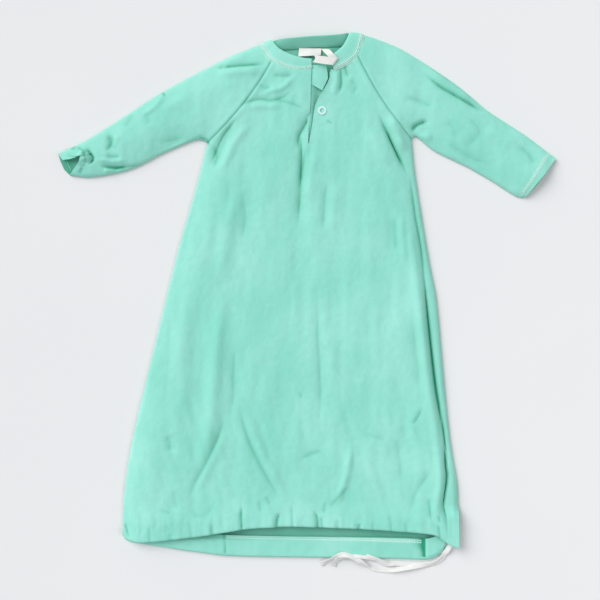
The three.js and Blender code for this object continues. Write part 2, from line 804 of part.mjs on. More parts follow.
// The tape's hidden loop, then the straight ends that slide out of the casing's mouths.
const drawLength = tapeTravel + tapeGrip;
const drawLean = 0.5; // where the straight ends lie between the middles of the tunnel's two ends
const loopEnd = (mouth) => mouth - (2 * (drawLength + 3)) / hemWidth;
function drawstringLoop() {
  const stations = casingPath({ back: loopEnd(mouthU.back), front: loopEnd(mouthU.front) });
  return slab(
    stations.map(({ at, normal }) => {
      const edges = [-1, 1].map((side) => vec(at.x, at.y + (side * tapeWidth) / 2, at.z));
      const shifted = (amount) => edges.map((p) => p.clone().addScaledVector(normal, amount));
      return { upper: shifted(tapeThickness / 2), lower: shifted(-tapeThickness / 2) };
    }),
  );
}
add("drawstring_loop", drawstringLoop(), "tape");

function straightDraw(mouth, midY, z) {
  const mouthX = acrossHem(mouth);
  const y = lerp(midY(mouth), midY(loopEnd(mouth)), drawLean);
  return tapeAlong([vec(mouthX - drawLength, y, z), vec(mouthX, y, z)], tapeWidth, tapeThickness);
}
add("drawstring_end_back", straightDraw(mouthU.back, backMidY, casingMid), "tape");
add("drawstring_end_front", straightDraw(mouthU.front, frontMidY, frontMid), "tape");

// The free tails, each point chosen by hand: they turn out of the mouths, cross the back hem's
// corner, lie on the table and come back over the hem's edge.
const longTail = [
  [153.5, -251.9, 9.1],
  [157.8, -252.5, 8.9],
  [161, -257.6, 8.2],
  [162, -263, 7],
  [161.6, -268.4, 5.6],
  [159.8, -274, 3.9],
  [157, -280, 2.9],
  [153.4, -285.8, 2.1],
  [148.6, -291.8, 1.8],
  [141, -296.3, 1.8],
  [131.5, -297.8, 1.8],
  [120, -299.4, 1.8],
  [108, -301.6, 1.8],
  [98, -303, 1.6],
  [88, -303.6, 0.6],
  [78, -302.8, 0.5],
  [71, -300.6, 1.1],
  [65.5, -297.4, 3.2],
  [60, -293.4, 5.4],
  [54, -289.4, 5.9],
  [48, -286.6, 6],
  [42, -285.4, 6],
  [35.5, -287, 6],
  [29, -290.4, 5.4],
  [23, -293.8, 3.4],
  [17.1, -297, 0.8],
];
const shortTail = [
  [141.9, -280.9, 1.6],
  [147, -281.2, 1.5],
  [151.4, -283.6, 1.1],
  [152.4, -287.8, 0.7],
  [148.6, -292, 0.5],
  [141.6, -295.6, 0.5],
  [132.5, -297.2, 0.5],
  [124, -297.8, 0.5],
  [116, -297.9, 0.5],
  [108, -297.2, 0.5],
  [100, -296, 0.8],
  [93, -296.2, 2.4],
  [86, -294.4, 4],
  [78, -291, 4.2],
  [70, -288.9, 4.2],
  [61, -287.2, 4.2],
  [52, -286.6, 4.2],
  [44, -287.2, 4.2],
  [37.6, -289.4, 4.2],
  [33.4, -293.4, 3.3],
  [30.8, -299, 0.6],
];
const smoothRoute = (points) => {
  const curve = new THREE.CatmullRomCurve3(points.map(([x, y, z]) => vec(x, y, z)));
  return curve.getPoints(2 * (points.length - 1));
};
add("tail_long", tapeAlong(smoothRoute(longTail), tapeWidth, tapeThickness), "tape");
add("tail_short", tapeAlong(smoothRoute(shortTail), tapeWidth, tapeThickness), "tape");

// ---- Labels ----------------------------------------------------------------------------------
const labelRootY = neckPoint(neckline[10]).y - bandThickness - 2 * gap;
const sizeLabelX = neckX - 3.8;
const sizeLabelTop = fabric + gap + labelThickness;
add(
  "size_label",
  sheet(
    [-0.5, 0.5].map((share) =>
      [labelRootY, labelRootY - sizeLabelHeight].map((y) =>
        vec(sizeLabelX + share * sizeLabelWidth, y, sizeLabelTop),
      ),
    ),
    labelThickness,
  ),
  "label",
);

// The care label comes up from the back neck seam, folds over the front band and lies back to
// the left, with its cut end free. Each station gives its two edges and which way is inside.
function careLabel() {
  const root = vec(labelRootX, labelRootY, sizeLabelTop);
  const foldAt = vec(root.x + 15.4, root.y - careLabelDrop, careLabelRise);
  const tip = vec(foldAt.x - 27.5, foldAt.y + 4, careLabelRise + 0.6);
  const half = careLabelWidth / 2;
  const downLeg = new THREE.Vector2(foldAt.x - root.x, foldAt.y - root.y).normalize();
  const backLeg = new THREE.Vector2(tip.x - foldAt.x, tip.y - foldAt.y).normalize();
  const crease = downLeg.clone().add(backLeg).normalize().negate();
  const outward = vec(-crease.y, crease.x, 0).negate();
  const foldGap = 0.5;
  const edges = (at, direction, z) =>
    [1, -1].map((side) => vec(at.x + side * half * direction.x, at.y + side * half * direction.y, z));
  const station = (points, inside) => ({
    upper: points,
    lower: points.map((p) => p.clone().addScaledVector(inside, labelThickness)),
  });
  const up = vec(0, 0, 1);
  const levels = [0.25, 0.5, 0.75];
  const acrossDown = leftOf(downLeg);
  const acrossBack = leftOf(backLeg).negate();
  const rise = (share) => lerp(root.z, foldAt.z, Math.min(1, (share * careLabelDrop) / careLabelClimb));
  return slab([
    station(edges(root, vec(1, 0, 0), root.z), up),
    ...levels.map((share) => station(edges(root.clone().lerp(foldAt, share), acrossDown, rise(share)), up)),
    station(edges(foldAt, crease, foldAt.z), up),
    station(
      edges(foldAt.clone().addScaledVector(outward, 0.8), crease, foldAt.z + labelThickness + foldGap / 2),
      outward.clone().negate(),
    ),
    station(edges(foldAt, crease, foldAt.z + 2 * labelThickness + foldGap), up.clone().negate()),
    station(
      edges(foldAt.clone().lerp(tip, 0.5), acrossBack, foldAt.z + 2 * labelThickness + foldGap),
      up.clone().negate(),
    ),
    station(edges(tip, acrossBack, tip.z + 2 * labelThickness + foldGap), up.clone().negate()),
  ]);
}
const labelRootX = sizeLabelX + sizeLabelWidth / 2 + careLabelWidth / 2 + 1;
const careLabelDrop = 18; // from its root to its fold
const careLabelClimb = neckDepthAtLabel - bandHeight; // it is over the front band by then
const careLabelRise = crown + bandHeight * Math.sin(THREE.MathUtils.degToRad(6)) + gap + labelThickness;
add("care_label", careLabel(), "label");

export default gown;
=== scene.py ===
"""An infant's drawstring gown in mint cotton jersey, laid flat on its back on a pale table.

Lengths are in millimetres until a mesh is made, which scales them to metres.
"""
import math

import bmesh
import bpy
import numpy as np
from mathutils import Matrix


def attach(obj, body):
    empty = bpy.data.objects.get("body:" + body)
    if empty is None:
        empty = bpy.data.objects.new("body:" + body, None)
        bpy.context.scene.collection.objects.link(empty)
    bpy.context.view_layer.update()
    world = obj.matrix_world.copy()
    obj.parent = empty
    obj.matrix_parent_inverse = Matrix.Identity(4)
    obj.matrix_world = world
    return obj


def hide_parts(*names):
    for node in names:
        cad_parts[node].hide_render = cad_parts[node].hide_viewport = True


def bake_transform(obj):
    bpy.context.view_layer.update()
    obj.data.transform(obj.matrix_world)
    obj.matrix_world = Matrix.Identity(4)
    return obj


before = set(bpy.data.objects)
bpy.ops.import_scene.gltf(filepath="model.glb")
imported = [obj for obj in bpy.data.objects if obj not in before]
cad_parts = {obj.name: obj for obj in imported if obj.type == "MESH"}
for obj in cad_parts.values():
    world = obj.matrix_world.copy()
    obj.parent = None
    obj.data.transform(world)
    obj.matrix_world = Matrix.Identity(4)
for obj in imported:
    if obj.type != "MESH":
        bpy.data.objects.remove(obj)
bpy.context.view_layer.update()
scene = bpy.context.scene
scene.view_settings.view_transform = "Standard"
MM = 0.001

# ---- Camera: straight down on the laid gown --------------------------------------------------
camera = bpy.data.objects.new("camera", bpy.data.cameras.new("camera"))
scene.collection.objects.link(camera)
camera.data.lens = 60
camera.data.clip_end = 20
camera.location = (-0.0060, -0.0058, 1.104)
scene.camera = camera


# ---- Curves ----------------------------------------------------------------------------------
def along(points, t):
    """Points at shares t of a polyline's length."""
    p = np.asarray(points, float)
    length = np.r_[0, np.cumsum(np.linalg.norm(np.diff(p, axis=0), axis=1))]
    t = np.asarray(t, float) * length[-1]
    return np.stack([np.interp(t, length, p[:, k]) for k in range(p.shape[1])], -1)


def rounded(points, steps=8):
    """A Catmull-Rom curve through the points."""
    p = np.asarray(points, float)
    p = np.vstack([2 * p[0] - p[1], p, 2 * p[-1] - p[-2]])
    out = []
    for i in range(1, len(p) - 2):
        a, b, c, d = p[i - 1], p[i], p[i + 1], p[i + 2]
        for t in np.arange(steps) / steps:
            out.append(0.5 * (2 * b + (c - a) * t + (2 * a - 5 * b + 4 * c - d) * t**2
                              + (3 * b - a - 3 * c + d) * t**3))
    return np.array([*out, p[-2]])


def smooth(t):
    t = np.clip(t, 0, 1)
    return t * t * (3 - 2 * t)


# The neckband's ring, from the placket's left edge round by the left shoulder, the back and the
# right shoulder to its right edge: where it is sewn on, and its free edge.
SEAM = [
    (7.2, 249.2, 9.3), (-3.9, 246.6, 9.1), (-14.8, 247.4, 8.9), (-26.7, 250.9, 8.7), (-36.9, 256, 8.2),
    (-41.4, 260.6, 7.4), (-44.5, 265.5, 6.6), (-46.4, 269.8, 6.2), (-47.9, 273.5, 5.4), (-48.9, 275, 4.4),
    (-49.5, 275.8, 3.2), (-48.8, 275.2, 2), (-47.3, 274, 1), (-44.6, 272.4, 0.3), (-41.3, 271, 0.1),
    (-37.2, 270.3, 0), (-32.5, 270.1, 0), (-24.2, 270.4, 0), (-14.8, 271.1, 0), (-4, 272.1, 0),
    (7.2, 273, 0), (18.3, 273.5, 0), (29.1, 273.9, 0), (37.9, 274.2, 0), (45.6, 275.1, 0),
    (50.7, 276.8, 0), (55, 279, 0.1), (58.8, 281.7, 0.3), (61.6, 284.3, 1), (62.4, 285.9, 2),
    (62.7, 286.8, 3.2), (62.8, 286, 4.4), (62.7, 284.3, 5.4), (62.1, 279.9, 6.2), (61, 274.5, 6.6),
    (59.4, 268.4, 7.4), (56.6, 262.5, 8.2), (51.4, 257.3, 8.7), (45.1, 253, 8.9), (38.4, 249.6, 8.9),
    (31.4, 246.5, 8.9),
]
FREE = [
    (7.2, 258.4, 10), (-1.3, 259.2, 10.2), (-9.8, 261, 10.3), (-19.3, 264.4, 10.2), (-27.4, 268.9, 9.6),
    (-30.4, 271.5, 8.7), (-33, 274.8, 7.5), (-34.8, 277.4, 6.6), (-35.5, 279, 5.4), (-36.4, 280, 4.3),
    (-36.8, 280.4, 3.2), (-36.3, 280.2, 1.9), (-35.2, 279.9, 1), (-33.5, 280, 1), (-31.6, 280.3, 1.5),
    (-29.3, 280.8, 3), (-26.5, 281.3, 4.6), (-20.5, 281.9, 6.2), (-13.3, 282.4, 7.2), (-3.3, 283.3, 7.7),
    (7.2, 284.1, 7.7), (17.7, 284.6, 7.7), (27.8, 285.3, 7.2), (35, 286, 6.2), (40.9, 286.9, 4.6),
    (43.3, 287.7, 3), (45.3, 288.3, 1.5), (47.1, 288, 1), (48.6, 287.8, 1), (49.1, 288.3, 1.9),
    (49.1, 288.6, 3.2), (48.6, 288.2, 4.3), (48, 287.2, 5.4), (46.4, 283.4, 6.8), (44.6, 279.4, 7.9),
    (42.4, 275.2, 9), (39.6, 271.4, 9.8), (36.2, 268.2, 10.2), (32.8, 265.4, 10.4), (29.2, 262.8, 10.4),
    (25.7, 258.7, 10.3),
]
seam_xy = [p[:2] for p in SEAM]
BACK_TOP = {"left": 16, "right": 24}
FRONT_TOP = {"left": 4, "right": 36}
SHOULDER = {"left": 10, "right": 30}

# Folds and seams of the laid gown, from the neck outwards and down.
RAGLAN = {
    "left": [(-36.9, 256), (-44, 243.6), (-51.5, 231.5), (-59.6, 219.9), (-68.1, 208.6), (-77.2, 197.7),
             (-86.7, 187.2), (-96.6, 177.1), (-107.1, 167.3)],
    "right": [(56.6, 262.5), (62.6, 250.2), (69, 238.2), (75.7, 226.4), (82.9, 214.9), (90.5, 203.7),
              (98.6, 192.8), (107, 182.1), (115.9, 171.7)],
}
BACK_RAGLAN = {
    "left": [(-32.5, 270.1), (-69.8, 218.7), (-107.1, 167.3)],
    "right": [(45.6, 275.1), (80.8, 223.4), (115.9, 171.7)],
}
UPPER_FOLD = {
    "left": rounded([(-49.5, 275.8), (-76, 265), (-102, 252.6), (-135, 235.5), (-170, 215.5), (-208, 190.5),
                     (-245, 168), (-262, 160.5), (-272.3, 154.8)]),
    "right": rounded([(62.7, 286.8), (84, 279.5), (105, 270.5), (127, 257.5), (159, 236.3), (180, 220),
                      (195.6, 206.5), (209, 197), (240, 177), (262, 160.5), (275.6, 150.2)]),
}
UNDER_FOLD = {
    "left": rounded([(-107.1, 167.3), (-113, 170), (-121, 170.5), (-135, 165.5), (-160, 154.5), (-189, 139.8),
                     (-215, 132.6), (-240, 129.4), (-259.5, 131.6)]),
    "right": rounded([(115.9, 171.7), (121, 174.5), (127, 170.5), (141, 159), (163, 148), (181, 139.3),
                      (206, 124.8), (222, 114.5), (233, 108.3), (242, 107.2)]),
}
SIDE_FOLD = {
    "left": rounded([(-107.1, 167.3), (-113.5, 141), (-125, 99), (-138.1, 53.6), (-154.6, -12.4),
                     (-173.3, -89.4), (-189.8, -159.8), (-198.6, -214.8), (-201, -262)]),
    "right": rounded([(115.9, 171.7), (119.5, 135), (129, 75), (137, 28), (143.8, -8), (151.3, -89.4),
                      (158.5, -160), (166, -205), (167.5, -232), (168, -276)]),
}
FRONT_HEM = rounded([(-201, -262), (-194, -267.5), (-180, -270.5), (-155, -268.8), (-116, -264.3), (-85, -259.4),
                     (-61, -255.8), (-17, -253.4), (6.5, -254), (49, -255.5), (75, -257), (104, -259),
                     (139, -262), (150, -267), (158, -272.5), (168, -276)])
BACK_HEM = rounded([(-201, -262), (-194, -270), (-160, -276.8), (-131, -281.6), (-108.5, -284.6), (-88.6, -287),
                    (-39.5, -288.6), (6.5, -289.2), (52.5, -289.8), (98.5, -290.8), (131, -291.8),
                    (142.5, -289), (150, -282.5), (154, -275), (157, -267), (168, -254)])
CUFF = {
    "left": [(-272.3, 154.8), (-267, 148), (-258.5, 149), (-246.5, 152.6), (-248.5, 145), (-254.5, 138.5),
             (-259.5, 131.6)],
    "right": [(275.6, 150.2), (262, 132), (253, 121), (242, 107.2)],
}
CUFF_UNDER = {
    "left": [(-272.3, 154.8), (-270, 147), (-266, 138), (-259.5, 131.6)],
    "right": [(275.6, 150.2), (264, 133), (255, 121), (242, 107.2)],
}

# Folds in the upper layer: kind, height, half-width, and the line that they follow. V is a
# crease, G a gather that runs out over the hem, and R a soft ridge. V and G also paint shade along their lines.
FOLDS = [
    ('V', 2.6, 1.7, [(130.5, 34), (131.2, 16.2), (132.6, -5.1), (139.2, -63.7), (145.9, -117.1), (152.6, -157),
     (153.9, -197), (152, -237), (155.5, -252), (163, -262)]),
    ('R', 1.1, 4.5, [(124, 10), (131, -60), (137, -115), (144, -157), (145, -197), (143.5, -232)]),
    ('V', 1.6, 2.8, [(-72.6, 196), (-90.6, 173.3), (-105.8, 139.1)]),
    ('R', 1.1, 5, [(-60, 190), (-78, 166), (-95, 130)]),
    ('V', 1.6, 1.8, [(-4.7, 178), (-4.4, 156), (-5.2, 137), (-6.4, 112)]),
    ('R', 0.9, 2.6, [(0.4, 170), (1.2, 150), (-0.4, 125)]),
    ('V', 2.6, 1.3, [(87.6, 186), (92.5, 172), (99, 156.5), (107.5, 139)]),
    ('V', 1.5, 1.3, [(-161.5, 230.5), (-158.5, 223.5), (-152, 216)]),
    ('V', 2.2, 1.2, [(-253, 163.6), (-244.4, 158), (-241, 149), (-244, 142.4)]),
    ('R', 1.2, 3.4, [(-250.5, 156), (-247.5, 148), (-249.6, 141)]),
    ('V', 1.3, 1.4, [(-226, 143.4), (-212, 140.4), (-192, 141.2), (-176, 145)]),
    ('R', 1.1, 2.6, [(-232, 149), (-214, 146.5), (-194, 147)]),
    ('R', 1.2, 3, [(-182, 197), (-172, 201), (-160, 213), (-154, 225)]),
    ('V', 1.1, 2.6, [(-218, 178), (-214, 167), (-216, 159)]),
    ('V', 2, 1.7, [(-105.1, 248.3), (-75.7, 250.9), (-39.8, 253.1)]),
    ('R', 1.1, 5, [(-101.4, 241.4), (-72.1, 244.7), (-42.7, 245.8)]),
    ('R', 0.9, 5, [(-90.4, 256.8), (-61.1, 261.9)]),
    ('V', 1.3, 2.8, [(-76, 200), (-66, 209.5), (-49, 214), (-38, 212.4), (-22.6, 217), (-11.6, 227)]),
    ('V', 0.8, 2.6, [(-38, 212.4), (-26, 211.5), (-12, 208), (1, 201)]),
    ('R', 0.9, 4, [(-66, 203), (-54.5, 207), (-39.1, 206.4), (-22.6, 209.4)]),
    ('R', 1.2, 3, [(-49, 215.3), (-39.1, 223), (-25.9, 226.3), (-17.1, 234), (-9.4, 239.5)]),
    ('V', 1.3, 3.5, [(-38, 240.6), (-22.6, 239.5), (-10.5, 241.7)]),
    ('V', 0.9, 3, [(-52.3, 230.7), (-43.5, 226.3), (-35.8, 227.4)]),
    ('V', 2.6, 3.4, [(-7.2, 154.8), (-7.2, 172.4), (-1.7, 183.4), (3.9, 194.4), (7.4, 205.4)]),
    ('V', 2, 4.5, [(3.1, 168.4), (-3.5, 133.6), (-6.1, 104.2), (-7.9, 71.2)]),
    ('R', 1.1, 6, [(12.3, 162.9), (5.7, 133.6), (3.1, 96.9)]),
    ('V', 1.6, 2.4, [(38.5, 251.6), (39.1, 240.6), (39.3, 230.7), (36.3, 218.6)]),
    ('V', 1.3, 2.8, [(41.8, 257.1), (44.6, 245), (48.4, 236.2)]),
    ('V', 0.7, 4, [(47.9, 236.2), (56.1, 227.4), (49, 216.4)]),
    ('R', 1, 4, [(32.5, 247.2), (33.6, 231.8), (30.3, 216.4)]),
    ('V', 0.9, 1.8, [(23.1, 190.6), (30.8, 186.5)]),
    ('V', 3, 3, [(78.3, 203.2), (89.3, 177.6), (101, 154.8), (115, 126.2)]),
    ('R', 1.6, 5, [(91.1, 197.7), (101, 177.6), (110.6, 155.6)]),
    ('R', 0.9, 6, [(69.1, 184.9), (80.1, 161.1), (93, 139.1)]),
    ('V', 2.4, 2.2, [(115, 176.8), (121.6, 185.6), (136.2, 191.5)]),
    ('R', 1.1, 5, [(120.5, 168.4), (140.6, 175.7)]),
    ('V', 0.9, 4, [(105.8, 214.2), (122.3, 213.1), (142.5, 203.2)]),
    ('V', 2.3, 2, [(127.8, 245.4), (146.1, 229.6), (166.3, 217.9), (188.3, 205.1), (203.7, 198.1)]),
    ('R', 1.3, 4, [(131.5, 250.9), (151.6, 237), (173.6, 222.3), (195.6, 208.4)]),
    ('V', 0.8, 5, [(173.6, 196.6), (191.2, 179.4), (175.5, 159.2)]),
    ('R', 0.9, 8, [(195.6, 183.1), (232.3, 162.9)]),
    ('V', 1, 4, [(232.3, 164.7), (247, 151.9), (252.5, 139.1)]),
    ('V', 0.6, 5, [(157.1, 194.1), (167, 168.4)]),
    ('V', 0.7, 4, [(151.6, 170.2), (177.3, 151.9), (206.6, 140.9)]),
    ('V', 1.6, 4.5, [(-212.9, 176.8), (-212.7, 167.3), (-215.6, 160.7), (-220.2, 155.6)]),
    ('R', 1.3, 4, [(-206.3, 176.8), (-208.8, 168), (-212.5, 159.2)]),
    ('V', 1.1, 3, [(-220.2, 153), (-212.9, 151), (-201.1, 152)]),
    ('V', 2, 1.8, [(-227.2, 142.5), (-220.2, 140.2), (-207.7, 138.9), (-192.3, 140.7)]),
    ('R', 1, 4, [(-222.4, 136.5), (-207.7, 136.1)]),
    ('V', 3.6, 1.7, [(-245.1, 159.2), (-239.3, 157.9), (-235.4, 154.1), (-232.9, 149.7), (-234.9, 145.7),
     (-238.2, 141.3)]),
    ('R', 2.4, 4, [(-249.5, 157.8), (-241.1, 152.3), (-241.5, 144.6)]),
    ('V', 0.9, 1.3, [(-248.1, 131.7), (-244.4, 139.8)]),
    ('V', 1.3, 2, [(-257.6, 158.5), (-252.8, 164.7)]),
    ('V', 0.7, 4, [(-170.3, 184.9), (-175.5, 201.4)]),
    ('V', 0.7, 4, [(-199.7, 181.2), (-193.1, 191.5), (-190.9, 201.4)]),
    ('V', 0.7, 5, [(-161.9, 165.8), (-132.6, 172.8)]),
    ('R', 0.7, 6, [(-156.4, 203.2), (-127.1, 217.9)]),
    ('V', 1.7, 1.6, [(-121.2, 173.9), (-108.7, 170.2), (-105.1, 161.1)]),
    ('V', 1.1, 4, [(-103.2, 166.6), (-97, 151.9), (-101.4, 135.4)]),
    ('V', 1, 6, [(-75.7, 195.2), (-88.6, 166.6), (-100.7, 137.2)]),
    ('R', 1.1, 7, [(-75, 118.9), (-81.2, 89.6), (-88.6, 52.9), (-92.2, 8.9)]),
    ('V', 0.8, 5, [(-70.2, 118.9), (-65.5, 85.9), (-70.2, 52.9)]),
    ('V', 1, 5, [(24, 126.2), (21.8, 104.2), (19.6, 65.7)]),
    ('R', 0.8, 6, [(31.4, 122.6), (29.2, 67.6)]),
    ('R', 1, 4, [(104, 91.4), (106.9, 60.2), (109.1, 30.9)]),
    ('V', 0.8, 4, [(98.1, 85.9), (100.3, 43.7)]),
    ('R', 0.6, 10, [(-39.1, 151.9), (-44.6, 96.9)]),
    ('V', 1.6, 2.4, [(113.9, 137.2), (120.5, 87.7), (127.1, 49.2), (131.5, 5.2)]),
    ('V', 3, 2.2, [(127.1, 49.2), (131.5, 5.2), (134.8, -31.1), (140.2, -86.1), (145.8, -123.5), (154.6,
     -167.5)]),
    ('R', 1.2, 5, [(108.4, 104.2), (122.7, 5.2), (131.5, -86.1), (139.2, -143.3)]),
    ('V', 3, 1.6, [(152.4, -155.4), (153.5, -185.1), (155.7, -200.5), (151.2, -229.1), (153.5, -244.5),
     (156.8, -267.6)]),
    ('R', 1.3, 4, [(145.8, -170.8), (148, -203.8), (143.6, -231.3), (146.9, -255.5)]),
    ('R', 0.9, 3, [(161.2, -192.8), (162.2, -225.8), (162.2, -258.8)]),
    ('V', 1.1, 1.4, [(145.2, -241.2), (147.6, -250.5)]),
    ('R', 2, 8, [(-88.9, 12.6), (-97, -60.8), (-104, -141.4), (-116.8, -203.8)]),
    ('V', 1.1, 6, [(-75.7, -49.8), (-78.7, -90.1), (-78.7, -115.8), (-86, -140)]),
    ('V', 1.3, 3.2, [(-74.6, -112.1), (-64.7, -152.4), (-50.1, -185.4), (-33.6, -214.8), (-21.5, -234.9)]),
    ('R', 1.2, 5, [(-64.7, -123.1), (-54.5, -156.1), (-39.8, -189.1), (-20.7, -223.9)]),
    ('R', 0.9, 9, [(-130, 5.2), (-132.6, -49.8), (-138.1, -115.8), (-143.6, -170.8)]),
    ('V', 0.7, 8, [(-147.2, -5.8), (-150.9, -86.4), (-156.4, -141.4)]),
    ('V', 1.5, 3.6, [(-86, -128), (-97, -160), (-109.9, -186.6), (-122, -209), (-128, -228)]),
    ('R', 1, 5, [(-88, -150), (-99, -176), (-112, -201), (-119, -218)]),
    ('V', 0.5, 3.5, [(-128, -228), (-117, -243), (-104, -236), (-99, -220)]),
    ('V', 0.7, 5, [(-150.9, -152.4), (-146.1, -174.4)]),
    ('V', 0.7, 4, [(-144.7, -212.9), (-140.2, -238.6)]),
    ('V', 0.7, 1.6, [(-6.8, -106.6), (-3.1, -115)]),
    ('V', 0.9, 4, [(13, 5.2), (14.1, -49.8), (16.7, -115.8), (11.6, -156.1)]),
    ('R', 0.6, 8, [(27, -31.4), (30.6, -104.8)]),
    ('R', 1.4, 4, [(49.7, -159.8), (47.1, -185.4), (39.8, -214.8), (28.8, -234.9)]),
    ('V', 1, 3, [(47.1, -209.3), (25.1, -234.9)]),
    ('V', 0.5, 4, [(61.8, -151.7), (91.1, -160.5)]),
    ('V', 0.8, 3, [(-6.1, -179.9), (19.6, -170)]),
    ('V', 1.1, 1.8, [(128.5, -123.1), (122.3, -135.9), (115, -144)]),
    ('V', 0.8, 5, [(100.3, -152.4), (104, -185.4), (105.8, -211.1)]),
    ('V', 0.7, 4, [(142.5, -189.1), (122.3, -214.8), (113.1, -245.9)]),
    ('R', 0.5, 10, [(85.6, -31.4), (89.3, -104.8)]),
    ('V', 1, 6, [(116.8, -24.1), (122.3, -68.1), (126.7, -112.1)]),
    ('V', 0.6, 3, [(-160.1, -236), (-145.4, -239.7)]),
    ('V', 1.6, 1.4, [(-198, -249), (-196.6, -257), (-192.5, -268)]),
    ('G', 1.6, 1.6, [(-68.8, -230), (-70.6, -242), (-69.6, -258.8)]),
    ('G', 0.9, 1.5, [(-70.2, -234.9), (-68.8, -253.3)]),
    ('V', 0.6, 2, [(-50.8, -223.9), (-49, -239.7)]),
    ('G', 2.6, 1.6, [(-27.6, -238), (-31, -246), (-32.2, -257.3)]),
    ('V', 0.7, 2, [(-38.3, -231.3), (-43.5, -220.3)]),
    ('G', 0.9, 1.6, [(-15.2, -229.4), (-14.1, -251.4)]),
    ('G', 2.8, 1.7, [(9.6, -236), (12.4, -244), (13.4, -259.5)]),
    ('G', 1, 1.6, [(17.1, -241.2), (18.5, -256.9)]),
    ('V', 0.8, 2, [(21.8, -225.8), (20, -241.2)]),
    ('G', 2.4, 1.6, [(60.6, -249.5), (58.2, -254), (57.2, -261.7)]),
    ('G', 0.7, 1.6, [(74.6, -247), (73.5, -262.4)]),
    ('G', 0.7, 2, [(92.2, -238.6), (94.1, -262.4)]),
    ('V', 1, 2, [(135.1, -220.3), (137.3, -249.6)]),
    ('G', 1.1, 1.6, [(145.4, -249.6), (147.6, -267.9)]),
    ('G', 0.8, 2, [(-103.2, -249.6), (-102.1, -267.9)]),
    ('G', 0.6, 2, [(-127.1, -247), (-125.2, -267.9)]),
    ('G', 0.6, 2, [(-149.1, -251.4), (-148.3, -269.8)]),
    ('G', 0.7, 2, [(-171.1, -251.4), (-170.3, -270.5)]),
    ('G', 0.7, 1.6, [(35, -244.1), (35.8, -259.5)]),
    ('G', 0.6, 1.6, [(109.5, -247.8), (110.6, -264.3)]),
]

CLOTH = 0.7  # thickness of one layer
CROWN, FOLD_HEIGHT, FOLD_RUN, HEM_LIFT = 8.9, 3.6, 30, 1.8
EDGE = 1.9  # height of the two layers' meeting at a side fold
EDGE_RUN = 3.2
LAID = 0.2  # the lower layer's outer face over the table
CASING = 3.0  # depth of the doubled hem
CASING_HEIGHT = 21


def distance(x, y, line):
    """Signed distance to a polyline (left of its direction is positive), and the share along it."""
    line = np.asarray(line, float)
    seg = np.diff(line, axis=0)
    length = np.linalg.norm(seg, axis=1)
    start = np.r_[0, np.cumsum(length)]
    best = np.full(x.shape, 1e9)
    signed = np.zeros(x.shape)
    share = np.zeros(x.shape)
    for i in range(len(seg)):
        if length[i] < 1e-6:
            continue
        ux, uy = seg[i] / length[i]
        dx, dy = x - line[i, 0], y - line[i, 1]
        t = np.clip(dx * ux + dy * uy, 0, length[i])
        ex, ey = dx - t * ux, dy - t * uy
        d = np.hypot(ex, ey)
        near = d < best
        best = np.where(near, d, best)
        signed = np.where(near, np.sign(ux * dy - uy * dx) * d, signed)
        share = np.where(near, (start[i] + t) / start[-1], share)
    return signed, share


rng = np.random.RandomState(11)


def value_noise(x, y, sx, sy, seed):
    """Smooth random bumps, sx by sy apart, from -1 to 1."""
    table = np.random.RandomState(seed).uniform(-1, 1, (256, 256))
    u, v = x / sx + 500.3, y / sy + 500.7
    i, j = np.floor(u).astype(int), np.floor(v).astype(int)
    fu, fv = smooth(u - i), smooth(v - j)
    at = lambda a, b: table[(i + a) % 256, (j + b) % 256]
    return (at(0, 0) * (1 - fu) * (1 - fv) + at(1, 0) * fu * (1 - fv)
            + at(0, 1) * (1 - fu) * fv + at(1, 1) * fu * fv)


SILHOUETTE = [UPPER_FOLD["left"], UNDER_FOLD["left"], SIDE_FOLD["left"],
              UPPER_FOLD["right"], UNDER_FOLD["right"], SIDE_FOLD["right"]]


def to_silhouette(x, y):
    d = np.full(x.shape, 1e9)
    for line in SILHOUETTE:
        d = np.minimum(d, np.abs(distance(x, y, line[::3] if len(line) > 30 else line)[0]))
    return d


def relief(x, y):
    """Height that the folds add, and how much painted shade each point gets, from 0 to 1: more the deeper it lies in a
    crease or a seam groove.
    """
    z = np.zeros(x.shape)
    shade_and_stitch_tone = np.zeros(x.shape)
    for kind, height, width, line in FOLDS:
        p = np.array(line, float)
        reach = 3.2 * width + 2
        m = ((x > p[:, 0].min() - reach) & (x < p[:, 0].max() + reach)
             & (y > p[:, 1].min() - reach) & (y < p[:, 1].max() + reach))
        if not m.any():
            continue
        s, t = distance(x[m], y[m], rounded(p, 5) if len(p) > 2 else p)
        s = np.abs(s) / width
        ends = smooth(t / 0.3) * (1 if kind == "G" else smooth((1 - t) / 0.3))
        if kind == "R":
            z[m] += (1.25 if width < 4 else 1.6) * height * ends * np.exp(-s * s)
        else:
            form = ends * np.exp(-(s**1.15))
            z[m] -= (1.2 if width < 4 else 1.6) * height * form
            # Painted shade: the deeper in a crease or gather, the darker the colour.
            shade_and_stitch_tone[m] += form**1.6 * np.clip(height / 2.2, 0, 1) * np.clip(2.4 / width, 0.1, 1)
    z += 0.8 * value_noise(x, y, 19, 70, 3) + 0.42 * value_noise(x, y, 8, 26, 5)
    z += 0.5 * smooth((-y - 60) / 80) * value_noise(x + 0.35 * y, y, 7.5, 20, 15)
    z += 0.14 * value_noise(x, y, 3.6, 5.2, 8)
    for line in (RAGLAN["left"], RAGLAN["right"]):
        s, _ = distance(x, y, line)
        form = np.exp(-(np.abs(s) / 0.9) ** 1.5)
        z += -0.8 * form + 0.35 * np.exp(-((np.abs(s) - 3.2) / 2.2) ** 2)
        # Painted shade along the raglan seam's groove.
        shade_and_stitch_tone += 0.55 * form
    gather = smooth((-236 - y) / 14) * smooth((y + 262) / 8 + 0.6)
    z += gather * (0.55 * value_noise(x, y, 5.2, 40, 21) + 0.3 * value_noise(x, y, 2.4, 30, 22))
    return z, np.clip(shade_and_stitch_tone, 0, 1)


